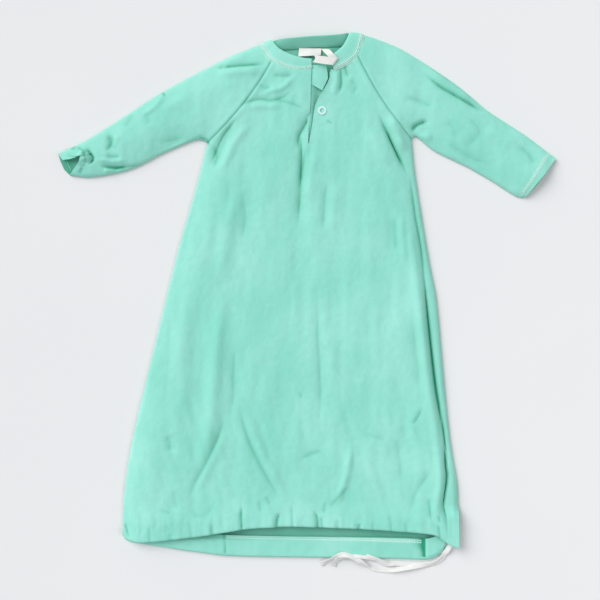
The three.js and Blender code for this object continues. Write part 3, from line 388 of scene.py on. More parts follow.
def upper_height(x, y):
    """Outer face of the upper layer, with the painted shade of its creases."""
    d = to_silhouette(x, y)
    near_hem = smooth((-225 - y) / 28)
    run = 1 - (1 - np.minimum(d / FOLD_RUN, 1)) ** 2
    base = FOLD_HEIGHT + (CROWN + HEM_LIFT * near_hem - FOLD_HEIGHT) * run
    folds, shade_and_stitch_tone = relief(x, y)
    over_casing = smooth((-226 - y) / 10)
    folds = folds * (1 - over_casing) + np.maximum(folds, -1.3) * over_casing
    base = base + folds * smooth(d / 5 + 0.1)
    # At the lower right corner the layers part and the tapes come out between them.
    lip = smooth((-230 - y) / 16) * smooth((x - 135) / 14)
    base = base + (CROWN + HEM_LIFT - FOLD_HEIGHT) * lip * (1 - run)
    roll = np.sqrt(np.clip(1 - (1 - np.minimum(d / EDGE_RUN, 1)) ** 2, 0, 1))
    roll = roll + (1 - roll) * lip
    low = EDGE + 8.6 * lip
    return low + (np.maximum(base, 1.6) - low) * roll, shade_and_stitch_tone


def lower_height(x, y):
    """Outer face of the layer on the table."""
    d = to_silhouette(x, y)
    lip = smooth((-238 - y) / 16) * smooth((x - 135) / 14)
    roll = np.sqrt(np.clip(1 - (1 - np.minimum(d / EDGE_RUN, 1)) ** 2, 0, 1))
    roll = roll + (1 - roll) * lip
    wave = 0.12 + 0.12 * value_noise(x, y, 22, 60, 31)
    return EDGE + (LAID + wave - EDGE) * roll


# ---- Materials -------------------------------------------------------------------------------
class Nodes:
    """A material's node tree, built one node at a time."""

    def __init__(self, name):
        self.material = bpy.data.materials.new(name)
        self.material.use_nodes = True
        self.tree = self.material.node_tree
        self.tree.nodes.clear()
        self.shader = self.tree.nodes.new("ShaderNodeBsdfPrincipled")
        out = self.tree.nodes.new("ShaderNodeOutputMaterial")
        self.tree.links.new(self.shader.outputs[0], out.inputs["Surface"])
        self.object = self.tree.nodes.new("ShaderNodeTexCoord").outputs["Object"]

    def node(self, kind, inputs=None, **settings):
        n = self.tree.nodes.new(kind)
        for key, value in settings.items():
            setattr(n, key, value)
        for key, value in (inputs or {}).items():
            self.put(n.inputs[key], value)
        return n

    def put(self, socket, value):
        if isinstance(value, bpy.types.NodeSocket):
            self.tree.links.new(value, socket)
        else:
            socket.default_value = value

    def math(self, operation, a, b=0.0):
        return self.node("ShaderNodeMath", {0: a, 1: b}, operation=operation).outputs[0]

    def mapped(self, scale, angle=0.0):
        return self.node("ShaderNodeMapping", {"Vector": self.object, "Scale": scale,
                                               "Rotation": (0, 0, angle)}).outputs[0]

    def noise(self, vector, scale, detail=2.0, rough=0.5):
        return self.node("ShaderNodeTexNoise", {"Vector": vector, "Scale": scale, "Detail": detail,
                                                "Roughness": rough}).outputs[0]

    def mix(self, share, a, b, blend="MIX"):
        n = self.node("ShaderNodeMix", data_type="RGBA", blend_type=blend)
        self.put(n.inputs[0], share)
        self.put(n.inputs[6], a)
        self.put(n.inputs[7], b)
        return n.outputs[2]

    def spread(self, value, low, high, to_low=0.0, to_high=1.0):
        return self.node("ShaderNodeMapRange", {0: value, 1: low, 2: high, 3: to_low, 4: to_high}).outputs[0]

    def bump(self, height, strength, distance, normal=None):
        n = self.node("ShaderNodeBump", {"Height": height, "Strength": strength, "Distance": distance})
        if normal is not None:
            self.put(n.inputs["Normal"], normal)
        return n.outputs[0]


def srgb(r, g, b):
    return tuple((c / 255 / 12.92) if c < 11 else ((c / 255 + 0.055) / 1.055) ** 2.4 for c in (r, g, b)) + (1.0,)


def jersey(name, angle, shade=1.0):
    """Cotton single jersey: columns of V stitches, worn to a light fuzz, with painted shade, a deeper green, in the
    creases.
    """
    n = Nodes(name)
    wale, course = 0.95 * MM, 0.75 * MM
    place = n.mapped((1 / wale, 1 / course, 1 / wale), angle)
    split = n.node("ShaderNodeSeparateXYZ", {0: place})
    across = n.math("ABSOLUTE", n.math("SUBTRACT", n.math("FRACT", split.outputs[0]), 0.5))
    leg = n.math("ADD", split.outputs[1], n.math("MULTIPLY", across, 1.4))
    loop = n.math("ABSOLUTE", n.math("SUBTRACT", n.math("FRACT", leg), 0.5))
    rib = n.math("SINE", n.math("MULTIPLY", across, 2 * math.pi))
    knit = n.math("MULTIPLY", n.math("ADD", loop, 0.25), n.math("ADD", rib, 0.35))
    fuzz = n.noise(n.object, 2600, 3, 0.7)
    tone = n.noise(n.object, 14, 3, 0.55)
    wash = n.noise(n.object, 130, 3, 0.6)
    fibre = n.noise(n.mapped((1, 0.22, 1), angle), 900, 2, 0.6)
    light, mid, deep = srgb(170, 239, 224), srgb(146, 227, 208), srgb(24, 152, 114)
    light, mid, deep = (tuple(c * shade for c in colour[:3]) + (1.0,) for colour in (light, mid, deep))
    colour = n.mix(n.spread(tone, 0.32, 0.7), mid, light)
    colour = n.mix(n.spread(wash, 0.35, 0.75, 0.0, 0.35), colour, mid)
    colour = n.mix(n.spread(fibre, 0.45, 0.8, 0.0, 0.3), colour, light)
    colour = n.mix(n.spread(knit, 0.05, 0.75, 0.22, 0.0), colour, deep)
    # Painted shade: the per-point attribute darkens the colour toward the deep green in creases, seam grooves and
    # hollows; where it is negative it pales the colour toward a pale mint for the stitch bands.
    shade_and_stitch_tone = n.node("ShaderNodeAttribute", attribute_name="shade_and_stitch_tone").outputs["Fac"]
    colour = n.mix(n.math("MULTIPLY", shade_and_stitch_tone, 0.95), colour, deep)
    colour = n.mix(n.math("MULTIPLY", shade_and_stitch_tone, -1.0), colour, srgb(216, 250, 240))
    n.put(n.shader.inputs["Base Color"], colour)
    n.put(n.shader.inputs["Roughness"], n.spread(fuzz, 0.3, 0.7, 0.84, 0.97))
    n.shader.inputs["Specular IOR Level"].default_value = 0.25
    n.shader.inputs["Sheen Weight"].default_value = 0.08
    n.shader.inputs["Sheen Roughness"].default_value = 0.5
    n.shader.inputs["Sheen Tint"].default_value = srgb(215, 245, 236)
    normal = n.bump(knit, 0.35, 0.25 * MM)
    normal = n.bump(fuzz, 0.18, 0.15 * MM, normal)
    normal = n.bump(wash, 0.35, 0.5 * MM, normal)
    n.put(n.shader.inputs["Normal"], normal)
    return n.material


def woven(name, colour, warm, angle, pitch, rough, specular, depth):
    """Tape or label cloth: a diagonal twill with a slight difference of tone from thread to thread."""
    n = Nodes(name)
    place = n.mapped((1 / pitch, 1 / pitch, 1 / pitch), angle)
    split = n.node("ShaderNodeSeparateXYZ", {0: place})
    slant = n.math("ADD", split.outputs[0], split.outputs[1])
    thread = n.math("ABSOLUTE", n.math("SUBTRACT", n.math("FRACT", slant), 0.5))
    weft = n.math("ABSOLUTE", n.math("SUBTRACT", n.math("FRACT", split.outputs[1]), 0.5))
    weave = n.math("ADD", thread, n.math("MULTIPLY", weft, 0.5))
    tone = n.noise(n.object, 160, 3, 0.6)
    fuzz = n.noise(n.object, 3000, 2, 0.6)
    base = n.mix(n.spread(tone, 0.3, 0.7), colour, warm)
    base = n.mix(n.spread(weave, 0.1, 0.6, 0.25, 0.0), base, tuple(c * 0.75 for c in colour[:3]) + (1.0,))
    n.put(n.shader.inputs["Base Color"], base)
    n.put(n.shader.inputs["Roughness"], n.spread(fuzz, 0.3, 0.7, rough - 0.08, min(rough + 0.06, 1)))
    n.shader.inputs["Specular IOR Level"].default_value = specular
    n.shader.inputs["Sheen Weight"].default_value = 0.1
    n.put(n.shader.inputs["Normal"], n.bump(fuzz, 0.15, 0.1 * MM, n.bump(weave, depth, 0.2 * MM)))
    return n.material


def metal(name, colour, metallic, rough):
    """Snap parts: worn a little brighter at random, with fine scratches in the gloss."""
    n = Nodes(name)
    wear = n.noise(n.object, 700, 4, 0.65)
    fine = n.noise(n.mapped((1, 6, 1)), 2400, 2, 0.5)
    n.put(n.shader.inputs["Base Color"], n.mix(n.spread(wear, 0.45, 0.75), colour,
                                               tuple(min(c * 1.12, 1) for c in colour[:3]) + (1.0,)))
    n.shader.inputs["Metallic"].default_value = metallic
    n.put(n.shader.inputs["Roughness"], n.spread(fine, 0.3, 0.7, rough - 0.08, rough + 0.12))
    n.put(n.shader.inputs["Normal"], n.bump(fine, 0.08, 0.05 * MM))
    return n.material


body_knit = jersey("jersey_body", 0.0)
left_knit = jersey("jersey_left_sleeve", math.radians(-62))
right_knit = jersey("jersey_right_sleeve", math.radians(54))
band_knit = jersey("jersey_band", math.radians(90), 1.02)
seam_knit = jersey("jersey_seam", math.radians(8), 0.9)
twill = woven("twill_tape", srgb(236, 236, 234), srgb(246, 244, 240), 0.5, 0.55 * MM, 0.85, 0.2, 0.4)
satin = woven("satin_label", srgb(240, 236, 230), srgb(250, 248, 244), 0.1, 0.28 * MM, 0.42, 0.45, 0.15)
thread = woven("thread", srgb(222, 252, 243), srgb(240, 255, 250), 0.8, 0.3 * MM, 0.7, 0.3, 0.2)
thread_dull = woven("thread_mint", srgb(150, 222, 206), srgb(172, 232, 218), 0.8, 0.3 * MM, 0.75, 0.3, 0.4)
enamel = metal("snap_enamel", srgb(214, 242, 236), 0.0, 0.3)
nickel = metal("snap_nickel", srgb(196, 196, 192), 1.0, 0.32)


# ---- Meshes ----------------------------------------------------------------------------------
def grid(name, points, material, shade_and_stitch_tone=None, closed=False, flip=False, thick=CLOTH, cut=None):
    """A sheet through rows of points, in millimetres, with its thickness on the inner side."""
    rows, columns = points.shape[:2]
    index = np.arange(rows * columns).reshape(rows, columns)
    if closed:
        index = np.hstack([index, index[:, :1]])
    quads = np.stack([index[:-1, :-1], index[:-1, 1:], index[1:, 1:], index[1:, :-1]], -1).reshape(-1, 4)
    if flip:
        quads = quads[:, ::-1]
    flat = points.reshape(-1, 3)
    mesh = bpy.data.meshes.new(name)
    mesh.from_pydata((flat * MM).tolist(), [], quads.tolist())
    mesh.polygons.foreach_set("use_smooth", np.ones(len(mesh.polygons), bool))
    # The per-point attribute holds painted shade for creases and hollows, and negative values for paler stitch bands.
    layer = mesh.attributes.new("shade_and_stitch_tone", "FLOAT", "POINT")
    if shade_and_stitch_tone is not None:
        layer.data.foreach_set("value", shade_and_stitch_tone.reshape(-1).astype(np.float32))
    edit = bmesh.new()
    edit.from_mesh(mesh)
    if cut:
        cut(edit)
    if thick:
        for edge in edit.edges:
            edge.smooth = not edge.is_boundary
    edit.to_mesh(mesh)
    edit.free()
    mesh.materials.append(material)
    piece = bpy.data.objects.new(name, mesh)
    scene.collection.objects.link(piece)
    if thick:
        solid = piece.modifiers.new("cloth", "SOLIDIFY")
        solid.thickness = thick * MM
        solid.offset = -1
    return piece


def coons(top, bottom, left, right, us, vs):
    """A net between four edges: top and bottom at us, left and right at vs."""
    u, v = us[None, :, None], vs[:, None, None]
    t, b = top[None], bottom[None]
    l, r = left[:, None], right[:, None]
    corners = ((1 - u) * (1 - v) * top[0] + u * (1 - v) * top[-1]
               + (1 - u) * v * bottom[0] + u * v * bottom[-1])
    return (1 - v) * t + v * b + (1 - u) * l + u * r - corners


def close_to_edges(count, edge=(0, 0.0015, 0.004, 0.0075, 0.012, 0.0175)):
    edge = np.array(edge)
    middle = np.linspace(edge[-1] + 0.007, 1 - edge[-1] - 0.007, count)
    return np.r_[edge, middle, 1 - edge[::-1]]


def side_by_side(raglan, side, armpit, vs, end=-1e9):
    """Points of a panel's side: down the raglan seam as far as the armpit, then down the side fold."""
    side = np.array([q for q in np.asarray(side).tolist() if q[1] > end])
    at = np.where(vs < armpit, vs / armpit, 0)
    below = np.where(vs < armpit, 0, (vs - armpit) / (1 - armpit))
    return np.where((vs < armpit)[:, None], along(raglan, at), along(side, below))


def inside_folds(x, y):
    """A hem's x, drawn in so that at each y it stays just inside the side folds."""
    left, right = (np.interp(y, SIDE_FOLD[s][::-1, 1], SIDE_FOLD[s][::-1, 0]) for s in ("left", "right"))
    return left + 1 + (x - x[0]) / (x[-1] - x[0]) * (right - left - 2)


def turned_hem(flat, height, sign, roll, inner):
    """The hem's fold and the inner run of its casing, below a panel's last row.
    sign is 1 where the fold goes down from the outer face, and -1 where it goes up."""
    edge = flat[-1]
    rows, radius = [], CASING / 2
    z0 = height(edge[:, 0], edge[:, 1])
    for angle in np.linspace(0, math.pi, roll + 1)[1:]:
        rows.append(np.column_stack([edge[:, 0], edge[:, 1] - radius * math.sin(angle),
                                     z0 - sign * radius * (1 - math.cos(angle))]))
    for run in inner:
        y = edge[:, 1] + run
        x = inside_folds(edge[:, 0], y)
        rows.append(np.column_stack([x, y, height(x, y) - sign * CASING]))
    return np.array(rows)


fine = 250
long_fine = 400
us = close_to_edges(fine)
vs = np.linspace(0, 1, long_fine)
ARMPIT = 0.2

# Front panel, with its half of the hem casing
front_neck = np.array(seam_xy[4::-1] + seam_xy[40:35:-1]) + (0, 1.2)
front_edges = [side_by_side(RAGLAN[s], SIDE_FOLD[s], ARMPIT, vs) for s in ("left", "right")]
front_bottom = along(FRONT_HEM, us) + np.outer(np.minimum(1, 8 * np.minimum(us, 1 - us)), (0, CASING / 2))
flat = coons(along(front_neck, us), front_bottom, *front_edges, us, vs)
height, shade_and_stitch_tone = upper_height(flat[..., 0], flat[..., 1])
height = height - 0.5 * np.exp(-vs / 0.004)[:, None]
front_points = np.dstack([flat, height])
hem = turned_hem(flat, lambda x, y: upper_height(x, y)[0], 1, 8, (1.5, 4, 9, 15, CASING_HEIGHT))
front_points = np.vstack([front_points, hem])
# The hem rows carry on the painted shade of the panel's last row, a little weaker.
front_painted_shade = np.vstack([shade_and_stitch_tone, np.repeat(shade_and_stitch_tone[-1:] * 0.8, len(hem), 0)])

OVER_EDGE = rounded([(3.6, 166), (6, 178), (8, 190), (10.4, 206.5), (14.5, 216), (20.2, 225.2), (24.6, 233),
                     (26.6, 239), (26.4, 243), (27.6, 246.4), (29, 262)])
HINGE = [(24.75, 166), (53.4, 258.8)]
LEFT_EDGE = [(2.9, 166), (3.4, 180), (5.2, 210), (7.4, 250)]
FLAP = [tuple(q) for q in OVER_EDGE[::3]] + [(40, 275), (58.6, 275.4), HINGE[1], HINGE[0]]
GAP = [LEFT_EDGE[0], LEFT_EDGE[1], LEFT_EDGE[2], (7.4, 275)] + [tuple(q) for q in OVER_EDGE[::3]][::-1]


def inside(x, y, outline):
    """Whether each point lies inside a closed outline."""
    x, y = np.asarray(x, float), np.asarray(y, float)
    within = np.zeros(x.shape, bool)
    for (x0, y0), (x1, y1) in zip(outline, outline[1:] + outline[:1]):
        crosses = (y0 > y) != (y1 > y)
        within ^= crosses & (x < (x1 - x0) * (y - y0) / (y1 - y0 + 1e-12) + x0)
    return within


def clip_along(edit, outline, closed=True):
    """Adds edges to a mesh along an outline seen from above, near the outline only."""
    ends = outline[1:] + (outline[:1] if closed else [])
    for (x0, y0), (x1, y1) in zip(outline, ends):
        length = math.hypot(x1 - x0, y1 - y0)
        if length < 1e-6:
            continue
        ux, uy = (x1 - x0) / length, (y1 - y0) / length
        near = []
        for face in edit.faces:
            cx, cy, _ = face.calc_center_median() / MM
            t, s = (cx - x0) * ux + (cy - y0) * uy, (cy - y0) * ux - (cx - x0) * uy
            if -2.5 < t < length + 2.5 and abs(s) < 4:
                near.append(face)
        geometry = near + list({e for f in near for e in f.edges}) + list({v for f in near for v in f.verts})
        bmesh.ops.bisect_plane(edit, geom=geometry, dist=1e-7, plane_co=(x0 * MM, y0 * MM, 0),
                               plane_no=(-uy, ux, 0))


def part_of(wanted):
    """A cut that keeps either the flap, or the front without the flap and the slit beside it."""
    def cut(edit):
        clip_along(edit, FLAP)
        clip_along(edit, LEFT_EDGE, closed=False)
        clip_along(edit, [LEFT_EDGE[0], OVER_EDGE[0].tolist()], closed=False)
        centres = np.array([face.calc_center_median()[:] for face in edit.faces]) / MM
        in_flap = inside(centres[:, 0], centres[:, 1], FLAP) & (centres[:, 2] > 5)
        in_gap = inside(centres[:, 0], centres[:, 1], GAP) & (centres[:, 2] > 5)
        outer = upper_height(centres[:, 0], centres[:, 1])[0]
        mouth = (centres[:, 0] > 153.5) & (centres[:, 1] < -225) & (centres[:, 2] < outer - 1.7)
        drop = ~in_flap if wanted == "flap" else in_flap | in_gap | mouth
        faces = [face for face, gone in zip(edit.faces, drop) if gone]
        bmesh.ops.delete(edit, geom=faces, context="FACES")
    return cut


front = grid("gown_front", front_points, body_knit, front_painted_shade, cut=part_of("front"))
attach(front, "torso")
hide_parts("front_panel", "hem_casing", "front_raglan_seam_left", "front_raglan_seam_right",
            "side_seam_left", "side_seam_right")

# Back panel
back_neck = np.array(seam_xy[16:25]) + (0, 1.5)
back_edges = [side_by_side(BACK_RAGLAN["left"], SIDE_FOLD["left"], ARMPIT, vs),
              side_by_side(BACK_RAGLAN["right"], SIDE_FOLD["right"], ARMPIT, vs, -254)]
back_bottom = along(BACK_HEM, us) + np.outer(np.minimum(1, 8 * np.minimum(us, 1 - us)), (0, CASING / 2))
flat = coons(along(back_neck, us), back_bottom, *back_edges, us, vs)
back_points = np.dstack([flat, lower_height(flat[..., 0], flat[..., 1])])


def back_height(x, y):
    bumps = 0.5 * value_noise(x, y, 13, 30, 41) + 0.25 * value_noise(x, y, 5, 14, 42)
    return lower_height(x, y) + bumps * smooth((-262 - y) / 6 + 0.5)


hem = turned_hem(flat, lower_height, -1, 8, (1.5, 3, 5, 7.5, 10, 12.5, 15, 17, 18.5, 19.5, CASING_HEIGHT))
x, y = hem[8:, :, 0], hem[8:, :, 1]
pleat = x - 131.5
fold = np.where(pleat < 0, np.exp(-(np.abs(pleat) / (3.2 + 4 * smooth((y + 286) / 14))) ** 1.6),
                np.exp(-(pleat / 0.7) ** 2))


def casing_bumps(x, y):
    join = np.exp(-(((x + 89 + 0.05 * (y + 270)) / 0.9) ** 2))
    return 0.4 * value_noise(x, y, 16, 24, 41) + 0.22 * value_noise(x, y, 5, 9, 42) - 0.9 * join


hem[8:, :, 2] += np.maximum(casing_bumps(x, y) - 2.0 * fold, -0.4)
hem[8:, :, 2] += 1.2 * smooth((pleat - 0.3) / 2.5) * smooth((22 - pleat) / 12)
# Painted shade over the whole lower layer, which shows only under the front hem and inside the neck.
back_painted_shade = np.full(back_points.shape[:2], 0.45)
hem_shade_and_stitch_tone = np.zeros(hem.shape[:2])
# Painted shade in the pleat's crease, in the shadow under the front hem's edge, and in the groove of the casing join.
hem_shade_and_stitch_tone[8:] = np.clip(1.5 * fold + 0.45 * smooth((y + 270.5 - 0.022 * x * (x > 0)) / 3) + 0.6 * np.exp(-(((x + 89 + 0.05 * (y + 270)) / 0.8) ** 2)), 0, 1)
# A paler band along the back hem's stitching, the thread's own tone.
back_line = np.array([(-88.6, -267.2), (-40, -268.4), (-6, -268.9), (67.3, -270.3), (128, -272.6)])
on_line = (y - np.interp(x, *back_line.T) - 1) / 1.5
hem_shade_and_stitch_tone[8:] -= 0.45 * np.exp(-on_line**2) * (x > -88) * (x < 128)
back = grid("gown_back", np.vstack([back_points, hem]), body_knit, np.vstack([back_painted_shade, hem_shade_and_stitch_tone]), flip=True)
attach(back, "torso")
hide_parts("back_panel", "back_raglan_seam_left", "back_raglan_seam_right")

# Sleeves: one tube each, flattened, from the armhole to the cuff
sleeve_rows = 130
across = close_to_edges(64, (0, 0.006, 0.018, 0.034, 0.054, 0.08))
stations = np.linspace(0, 1, sleeve_rows)
sleeve_nets = {}
for name, knit in (("left", left_knit), ("right", right_knit)):
    shoulder, over, under = SHOULDER[name], FRONT_TOP[name], BACK_TOP[name]
    step = 1 if over > shoulder else -1
    neck_over = [SEAM[i][:2] for i in range(shoulder, over + step, step)]
    step = 1 if under > shoulder else -1
    neck_under = [SEAM[i][:2] for i in range(shoulder, under + step, step)]
    layers = []
    for armhole, cuff in ((neck_over + RAGLAN[name][1:], CUFF[name]),
                          (neck_under + BACK_RAGLAN[name][1:], CUFF_UNDER[name])):
        layers.append(coons(along(UPPER_FOLD[name], stations), along(UNDER_FOLD[name], stations),
                            along(armhole, across), along(cuff, across), stations, across))
    over_xy, under_xy = layers
    z_over, shade_and_stitch_tone = upper_height(over_xy[..., 0], over_xy[..., 1])
    z_under = lower_height(under_xy[..., 0], under_xy[..., 1])
    sleeve_nets[name] = np.dstack([over_xy, z_over])
    ring = np.vstack([np.dstack([over_xy, z_over]), np.dstack([under_xy, z_under])[::-1][1:-1]])
    # Painted shade on the lower layer near the cuff, inside the sleeve's opening.
    shade = np.broadcast_to(0.75 * smooth((stations - 0.9) / 0.06), z_under.shape)
    # A paler band under the right cuff's stitching, the thread's own tone.
    shade_and_stitch_tone = shade_and_stitch_tone - 0.4 * np.exp(-(((1 - stations) * 240 - 9.4) / 1.8) ** 2) * (name == "right")
    ring_shade_and_stitch_tone = np.vstack([shade_and_stitch_tone, shade[1:-1]])
    piece = grid("gown_sleeve_" + name, ring.transpose(1, 0, 2), knit, ring_shade_and_stitch_tone.T, closed=True,
                 flip=name == "left")
    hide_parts("sleeve_" + name, "underarm_seam_" + name)
    sleeve_nets[name + "_piece"] = piece

# Placket: the upper flap that carries the snap's cap, and the facing under it
curl = 0.9 * np.exp(-np.abs(distance(front_points[..., 0], front_points[..., 1], OVER_EDGE)[0]) / 2.6)
flap_points = front_points.copy()
flap_points[..., 2] += curl * smooth((front_points[..., 1] - 200) / 25)
flap_points[..., 2] += 0.3 * curl
flap = grid("placket_flap", flap_points[:len(vs)], body_knit, front_painted_shade[:len(vs)], cut=part_of("flap"))
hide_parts("placket_over")

facing_us, facing_vs = np.linspace(0, 1, 24), np.linspace(0, 1, 60)
facing_flat = coons(along([(0.3, 163.5), (29, 163.5)], facing_us), along([(4.7, 243.4), (33, 245)], facing_us),
                    along([(0.3, 163.5), (4.7, 243.4)], facing_vs), along([(29, 163.5), (33, 245)], facing_vs),
                    facing_us, facing_vs)
drop = smooth((facing_us * 28.5 - 2.5) / 9)[None, :] * 3.7
facing_height = 8.0 - drop + 0.2 * value_noise(facing_flat[..., 0], facing_flat[..., 1], 6, 18, 51)
# The facing under the flap gets a light painted shade.
facing = grid("placket_facing", np.dstack([facing_flat, facing_height]), body_knit,
              np.full(facing_height.shape, 0.12))
corner_vs = np.linspace(0, 1, 24)
corner_flat = coons(along([(4.9, 231.5), (18.4, 223.8)], facing_us), along([(6.9, 251.5), (22.6, 252)], facing_us),
                    along([(4.9, 231.5), (6.9, 251.5)], corner_vs),
                    along([(18.4, 223.8), (24.6, 236.8), (24.2, 243), (22.6, 252)], corner_vs), facing_us, corner_vs)
corner_height = 8.5 + 0.8 * np.sin(np.pi * facing_us)[None, :] * smooth(corner_vs * 3)[:, None] * np.ones((24, 1))
corner = grid("placket_corner", np.dstack([corner_flat, corner_height]), body_knit,
              np.zeros(corner_height.shape), thick=0.9)
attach(facing, "torso")
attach(corner, "torso")
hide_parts("placket_under")

# ---- Neckband: a folded strip round the neck, open at the placket ----------------------------
steps = 6
seam_line, free_line = rounded(SEAM, steps), rounded(FREE, steps)
seam_line = np.column_stack([seam_line[:, :2], np.maximum(seam_line[:, 2], 0.3)])
tangent = np.gradient((seam_line + free_line) / 2, axis=0)
tangent /= np.linalg.norm(tangent, axis=1)[:, None]
across_band = free_line - seam_line
outward = np.cross(across_band, tangent)
outward /= np.linalg.norm(outward, axis=1)[:, None]
kernel = np.ones(5) / 5
outward = np.stack([np.convolve(np.pad(outward[:, k], 2, "edge"), kernel, "valid") for k in range(3)], -1)
outward /= np.linalg.norm(outward, axis=1)[:, None]
BAND = 1.5
profile = [(-0.06, -0.8), (-0.03, -0.25), (0.06, 0.3), (0.2, 0.55), (0.4, 0.7), (0.6, 0.72), (0.8, 0.6),
           (0.92, 0.3), (0.985, -0.2), (1.0, -0.75), (0.985, -1.25), (0.9, -1.5), (0.6, -1.5), (0.3, -1.5),
           (0.05, -1.4)]
count = len(seam_line)
wave = 0.18 * value_noise(np.arange(count) * 0.9, np.zeros(count), 3, 3, 61)
loops = np.array([seam_line + across_band * w + outward * (d + wave * (d > -0.5))[:, None] if False
                  else seam_line + across_band * w + outward * (d + (wave if d > -0.5 else 0 * wave))[:, None]
                  for w, d in profile]).transpose(1, 0, 2)
loops[..., 2] = np.maximum(loops[..., 2], 0.1)
place = np.arange(count) / steps
# Painted shade on the band's back inside the neck, deepest at its two back corners.
depth = 0.3 * smooth((place - 11) / 3) * smooth((29 - place) / 3)
depth = depth + 0.45 * (np.exp(-((place - 13.5) / 1.8) ** 2) + np.exp(-((place - 26.5) / 1.8) ** 2))
band_shade_and_stitch_tone = np.repeat(depth[:, None], len(profile), 1)
# A paler band where the coverstitch lies, the thread's own tone.
stitched = (place < 9.5) | (place > 31.5)
for k, (w, d) in enumerate(profile):
    band_shade_and_stitch_tone[stitched, k] -= 0.55 * math.exp(-((w - 0.06) / 0.16) ** 2) * (d > -0.3)
band = grid("neckband_knit", loops, band_knit, band_shade_and_stitch_tone, closed=True, flip=True, thick=0)
edit = bmesh.new()
edit.from_mesh(band.data)
bmesh.ops.holes_fill(edit, edges=[e for e in edit.edges if e.is_boundary], sides=0)
bmesh.ops.recalc_face_normals(edit, faces=edit.faces)
edit.to_mesh(band.data)
edit.free()
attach(band, "torso")
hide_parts("neckband")


# ---- Stitching -------------------------------------------------------------------------------
def stitches(name, lines, material, body, replaced, pitch=2.4, length=1.9, radius=0.34):
    """Rows of separate thread loops lying on the cloth. Each line is its points and which way is up."""
    verts, faces = [], []
    for points, up in lines:
        p = np.asarray(points, float)
        total = np.linalg.norm(np.diff(p, axis=0), axis=1).sum()
        number = max(2, int(total / pitch))
        starts = (np.arange(number) + 0.5) / number
        half = length / total / 2
        for k, s in enumerate(starts):
            shares = np.clip(s + np.linspace(-half, half, 5), 0, 1)
            centre = along(p, shares)
            ahead = centre[-1] - centre[0]
            ahead /= np.linalg.norm(ahead) + 1e-9
            lift = np.asarray(up(s) if callable(up) else up, float)
            side = np.cross(ahead, lift)
            side /= np.linalg.norm(side) + 1e-9
            base = len(verts)
            for j, c in enumerate(centre):
                bow = math.sin(math.pi * j / 4)
                r = radius * (0.45 + 0.55 * bow)
                c = c + lift * (radius * 0.9 * bow - 0.1)
                for a in np.linspace(0, 2 * math.pi, 7)[:-1]:
                    verts.append(c + r * (math.cos(a) * side + math.sin(a) * lift))
            for j in range(4):
                for a in range(6):
                    b = (a + 1) % 6
                    faces.append([base + 6 * j + a, base + 6 * j + b, base + 6 * j + 6 + b, base + 6 * j + 6 + a])
            faces.append([base + a for a in range(5, -1, -1)])
            faces.append([base + 24 + a for a in range(6)])
    mesh = bpy.data.meshes.new(name)
    mesh.from_pydata((np.array(verts) * MM).tolist(), [], faces)
    mesh.polygons.foreach_set("use_smooth", np.ones(len(mesh.polygons), bool))
    mesh.materials.append(material)
    piece = bpy.data.objects.new(name, mesh)
    scene.collection.objects.link(piece)
    if body:
        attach(piece, body)
    if replaced:
        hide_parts(*replaced)
    return piece


def on_top(line, lift=0.12):
    line = np.asarray(line, float)
    return np.column_stack([line, upper_height(line[:, 0], line[:, 1])[0] + lift])


def band_rows(first, last):
    rows = []
    part = slice(first * steps, last * steps + 1)
    for inset, lift in ((-0.07, 0.35), (0.04, 0.6), (0.15, 0.85)):
        rows.append((seam_line[part] + across_band[part] * inset + outward[part] * lift,
                     lambda s, part=part: outward[part][int(s * (len(outward[part]) - 1))]))
    return rows


stitches("band_stitching_left", band_rows(0, 9), thread, "torso", ["neckband_stitch_left"],
         pitch=2.2, length=2, radius=0.42)
stitches("band_stitching_right", band_rows(32, 40), thread, "torso", ["neckband_stitch_right"],
         pitch=2.2, length=2, radius=0.42)

for name in ("left", "right"):
    net = sleeve_nets[name]
    rows = []
    for inset in (8, 9.4, 10.8):
        column = int(round((1 - inset / 240) * (sleeve_rows - 1)))
        share = (1 - inset / 240) * (sleeve_rows - 1) - column
        other = min(max(column + (1 if share > 0 else -1), 0), sleeve_rows - 1)
        line = net[:, column] * (1 - abs(share)) + net[:, other] * abs(share)
        line = line[6:-6]
        rows.append((line + (0, 0, 0.12), (0, 0, 1)))
    stitches("cuff_stitching_" + name, rows, thread_dull if name == "left" else thread, "sleeve_" + name,
             ["cuff_stitch_" + name])

inside = np.array([(-262.6, 146.6), (-260.6, 141.6), (-258.2, 137.2)])
stitches("cuff_stitching_inside", [(np.column_stack([inside, [1.5, 1.4, 1.3]]), (0, 0, 1))], thread, "sleeve_left", [])

back_row = along(back_line, np.linspace(0, 1, 60))
rows = []
for shift in (2.2, -0.2):
    row = back_row + (0, shift)
    rows.append((np.column_stack([row, LAID + CASING + 0.3 + casing_bumps(row[:, 0], row[:, 1])]), (0, 0, 1)))
stitches("hem_stitching_back", rows, thread, "torso", ["hem_stitch_back"], pitch=2.9, length=2.4, radius=0.55)
front_row = along(FRONT_HEM, np.linspace(0.03, 0.93, 120)) + (0, CASING_HEIGHT - 1)
rows = [(on_top(front_row + (0, k)), (0, 0, 1)) for k in (0, 2.4)]
stitches("hem_stitching_front", rows, thread_dull, "torso", ["hem_stitch_front"], pitch=2.6)
join = along([(-88.4, -267), (-89.4, -286)], np.linspace(0, 1, 10))
stitches("casing_join", [(np.column_stack([join, np.full(10, LAID + CASING + 0.3)]), (0, 0, 1))], thread_dull, "torso",
         ["casing_join_seam"])
tack = [(1.2, 165), (8.5, 164.6)]
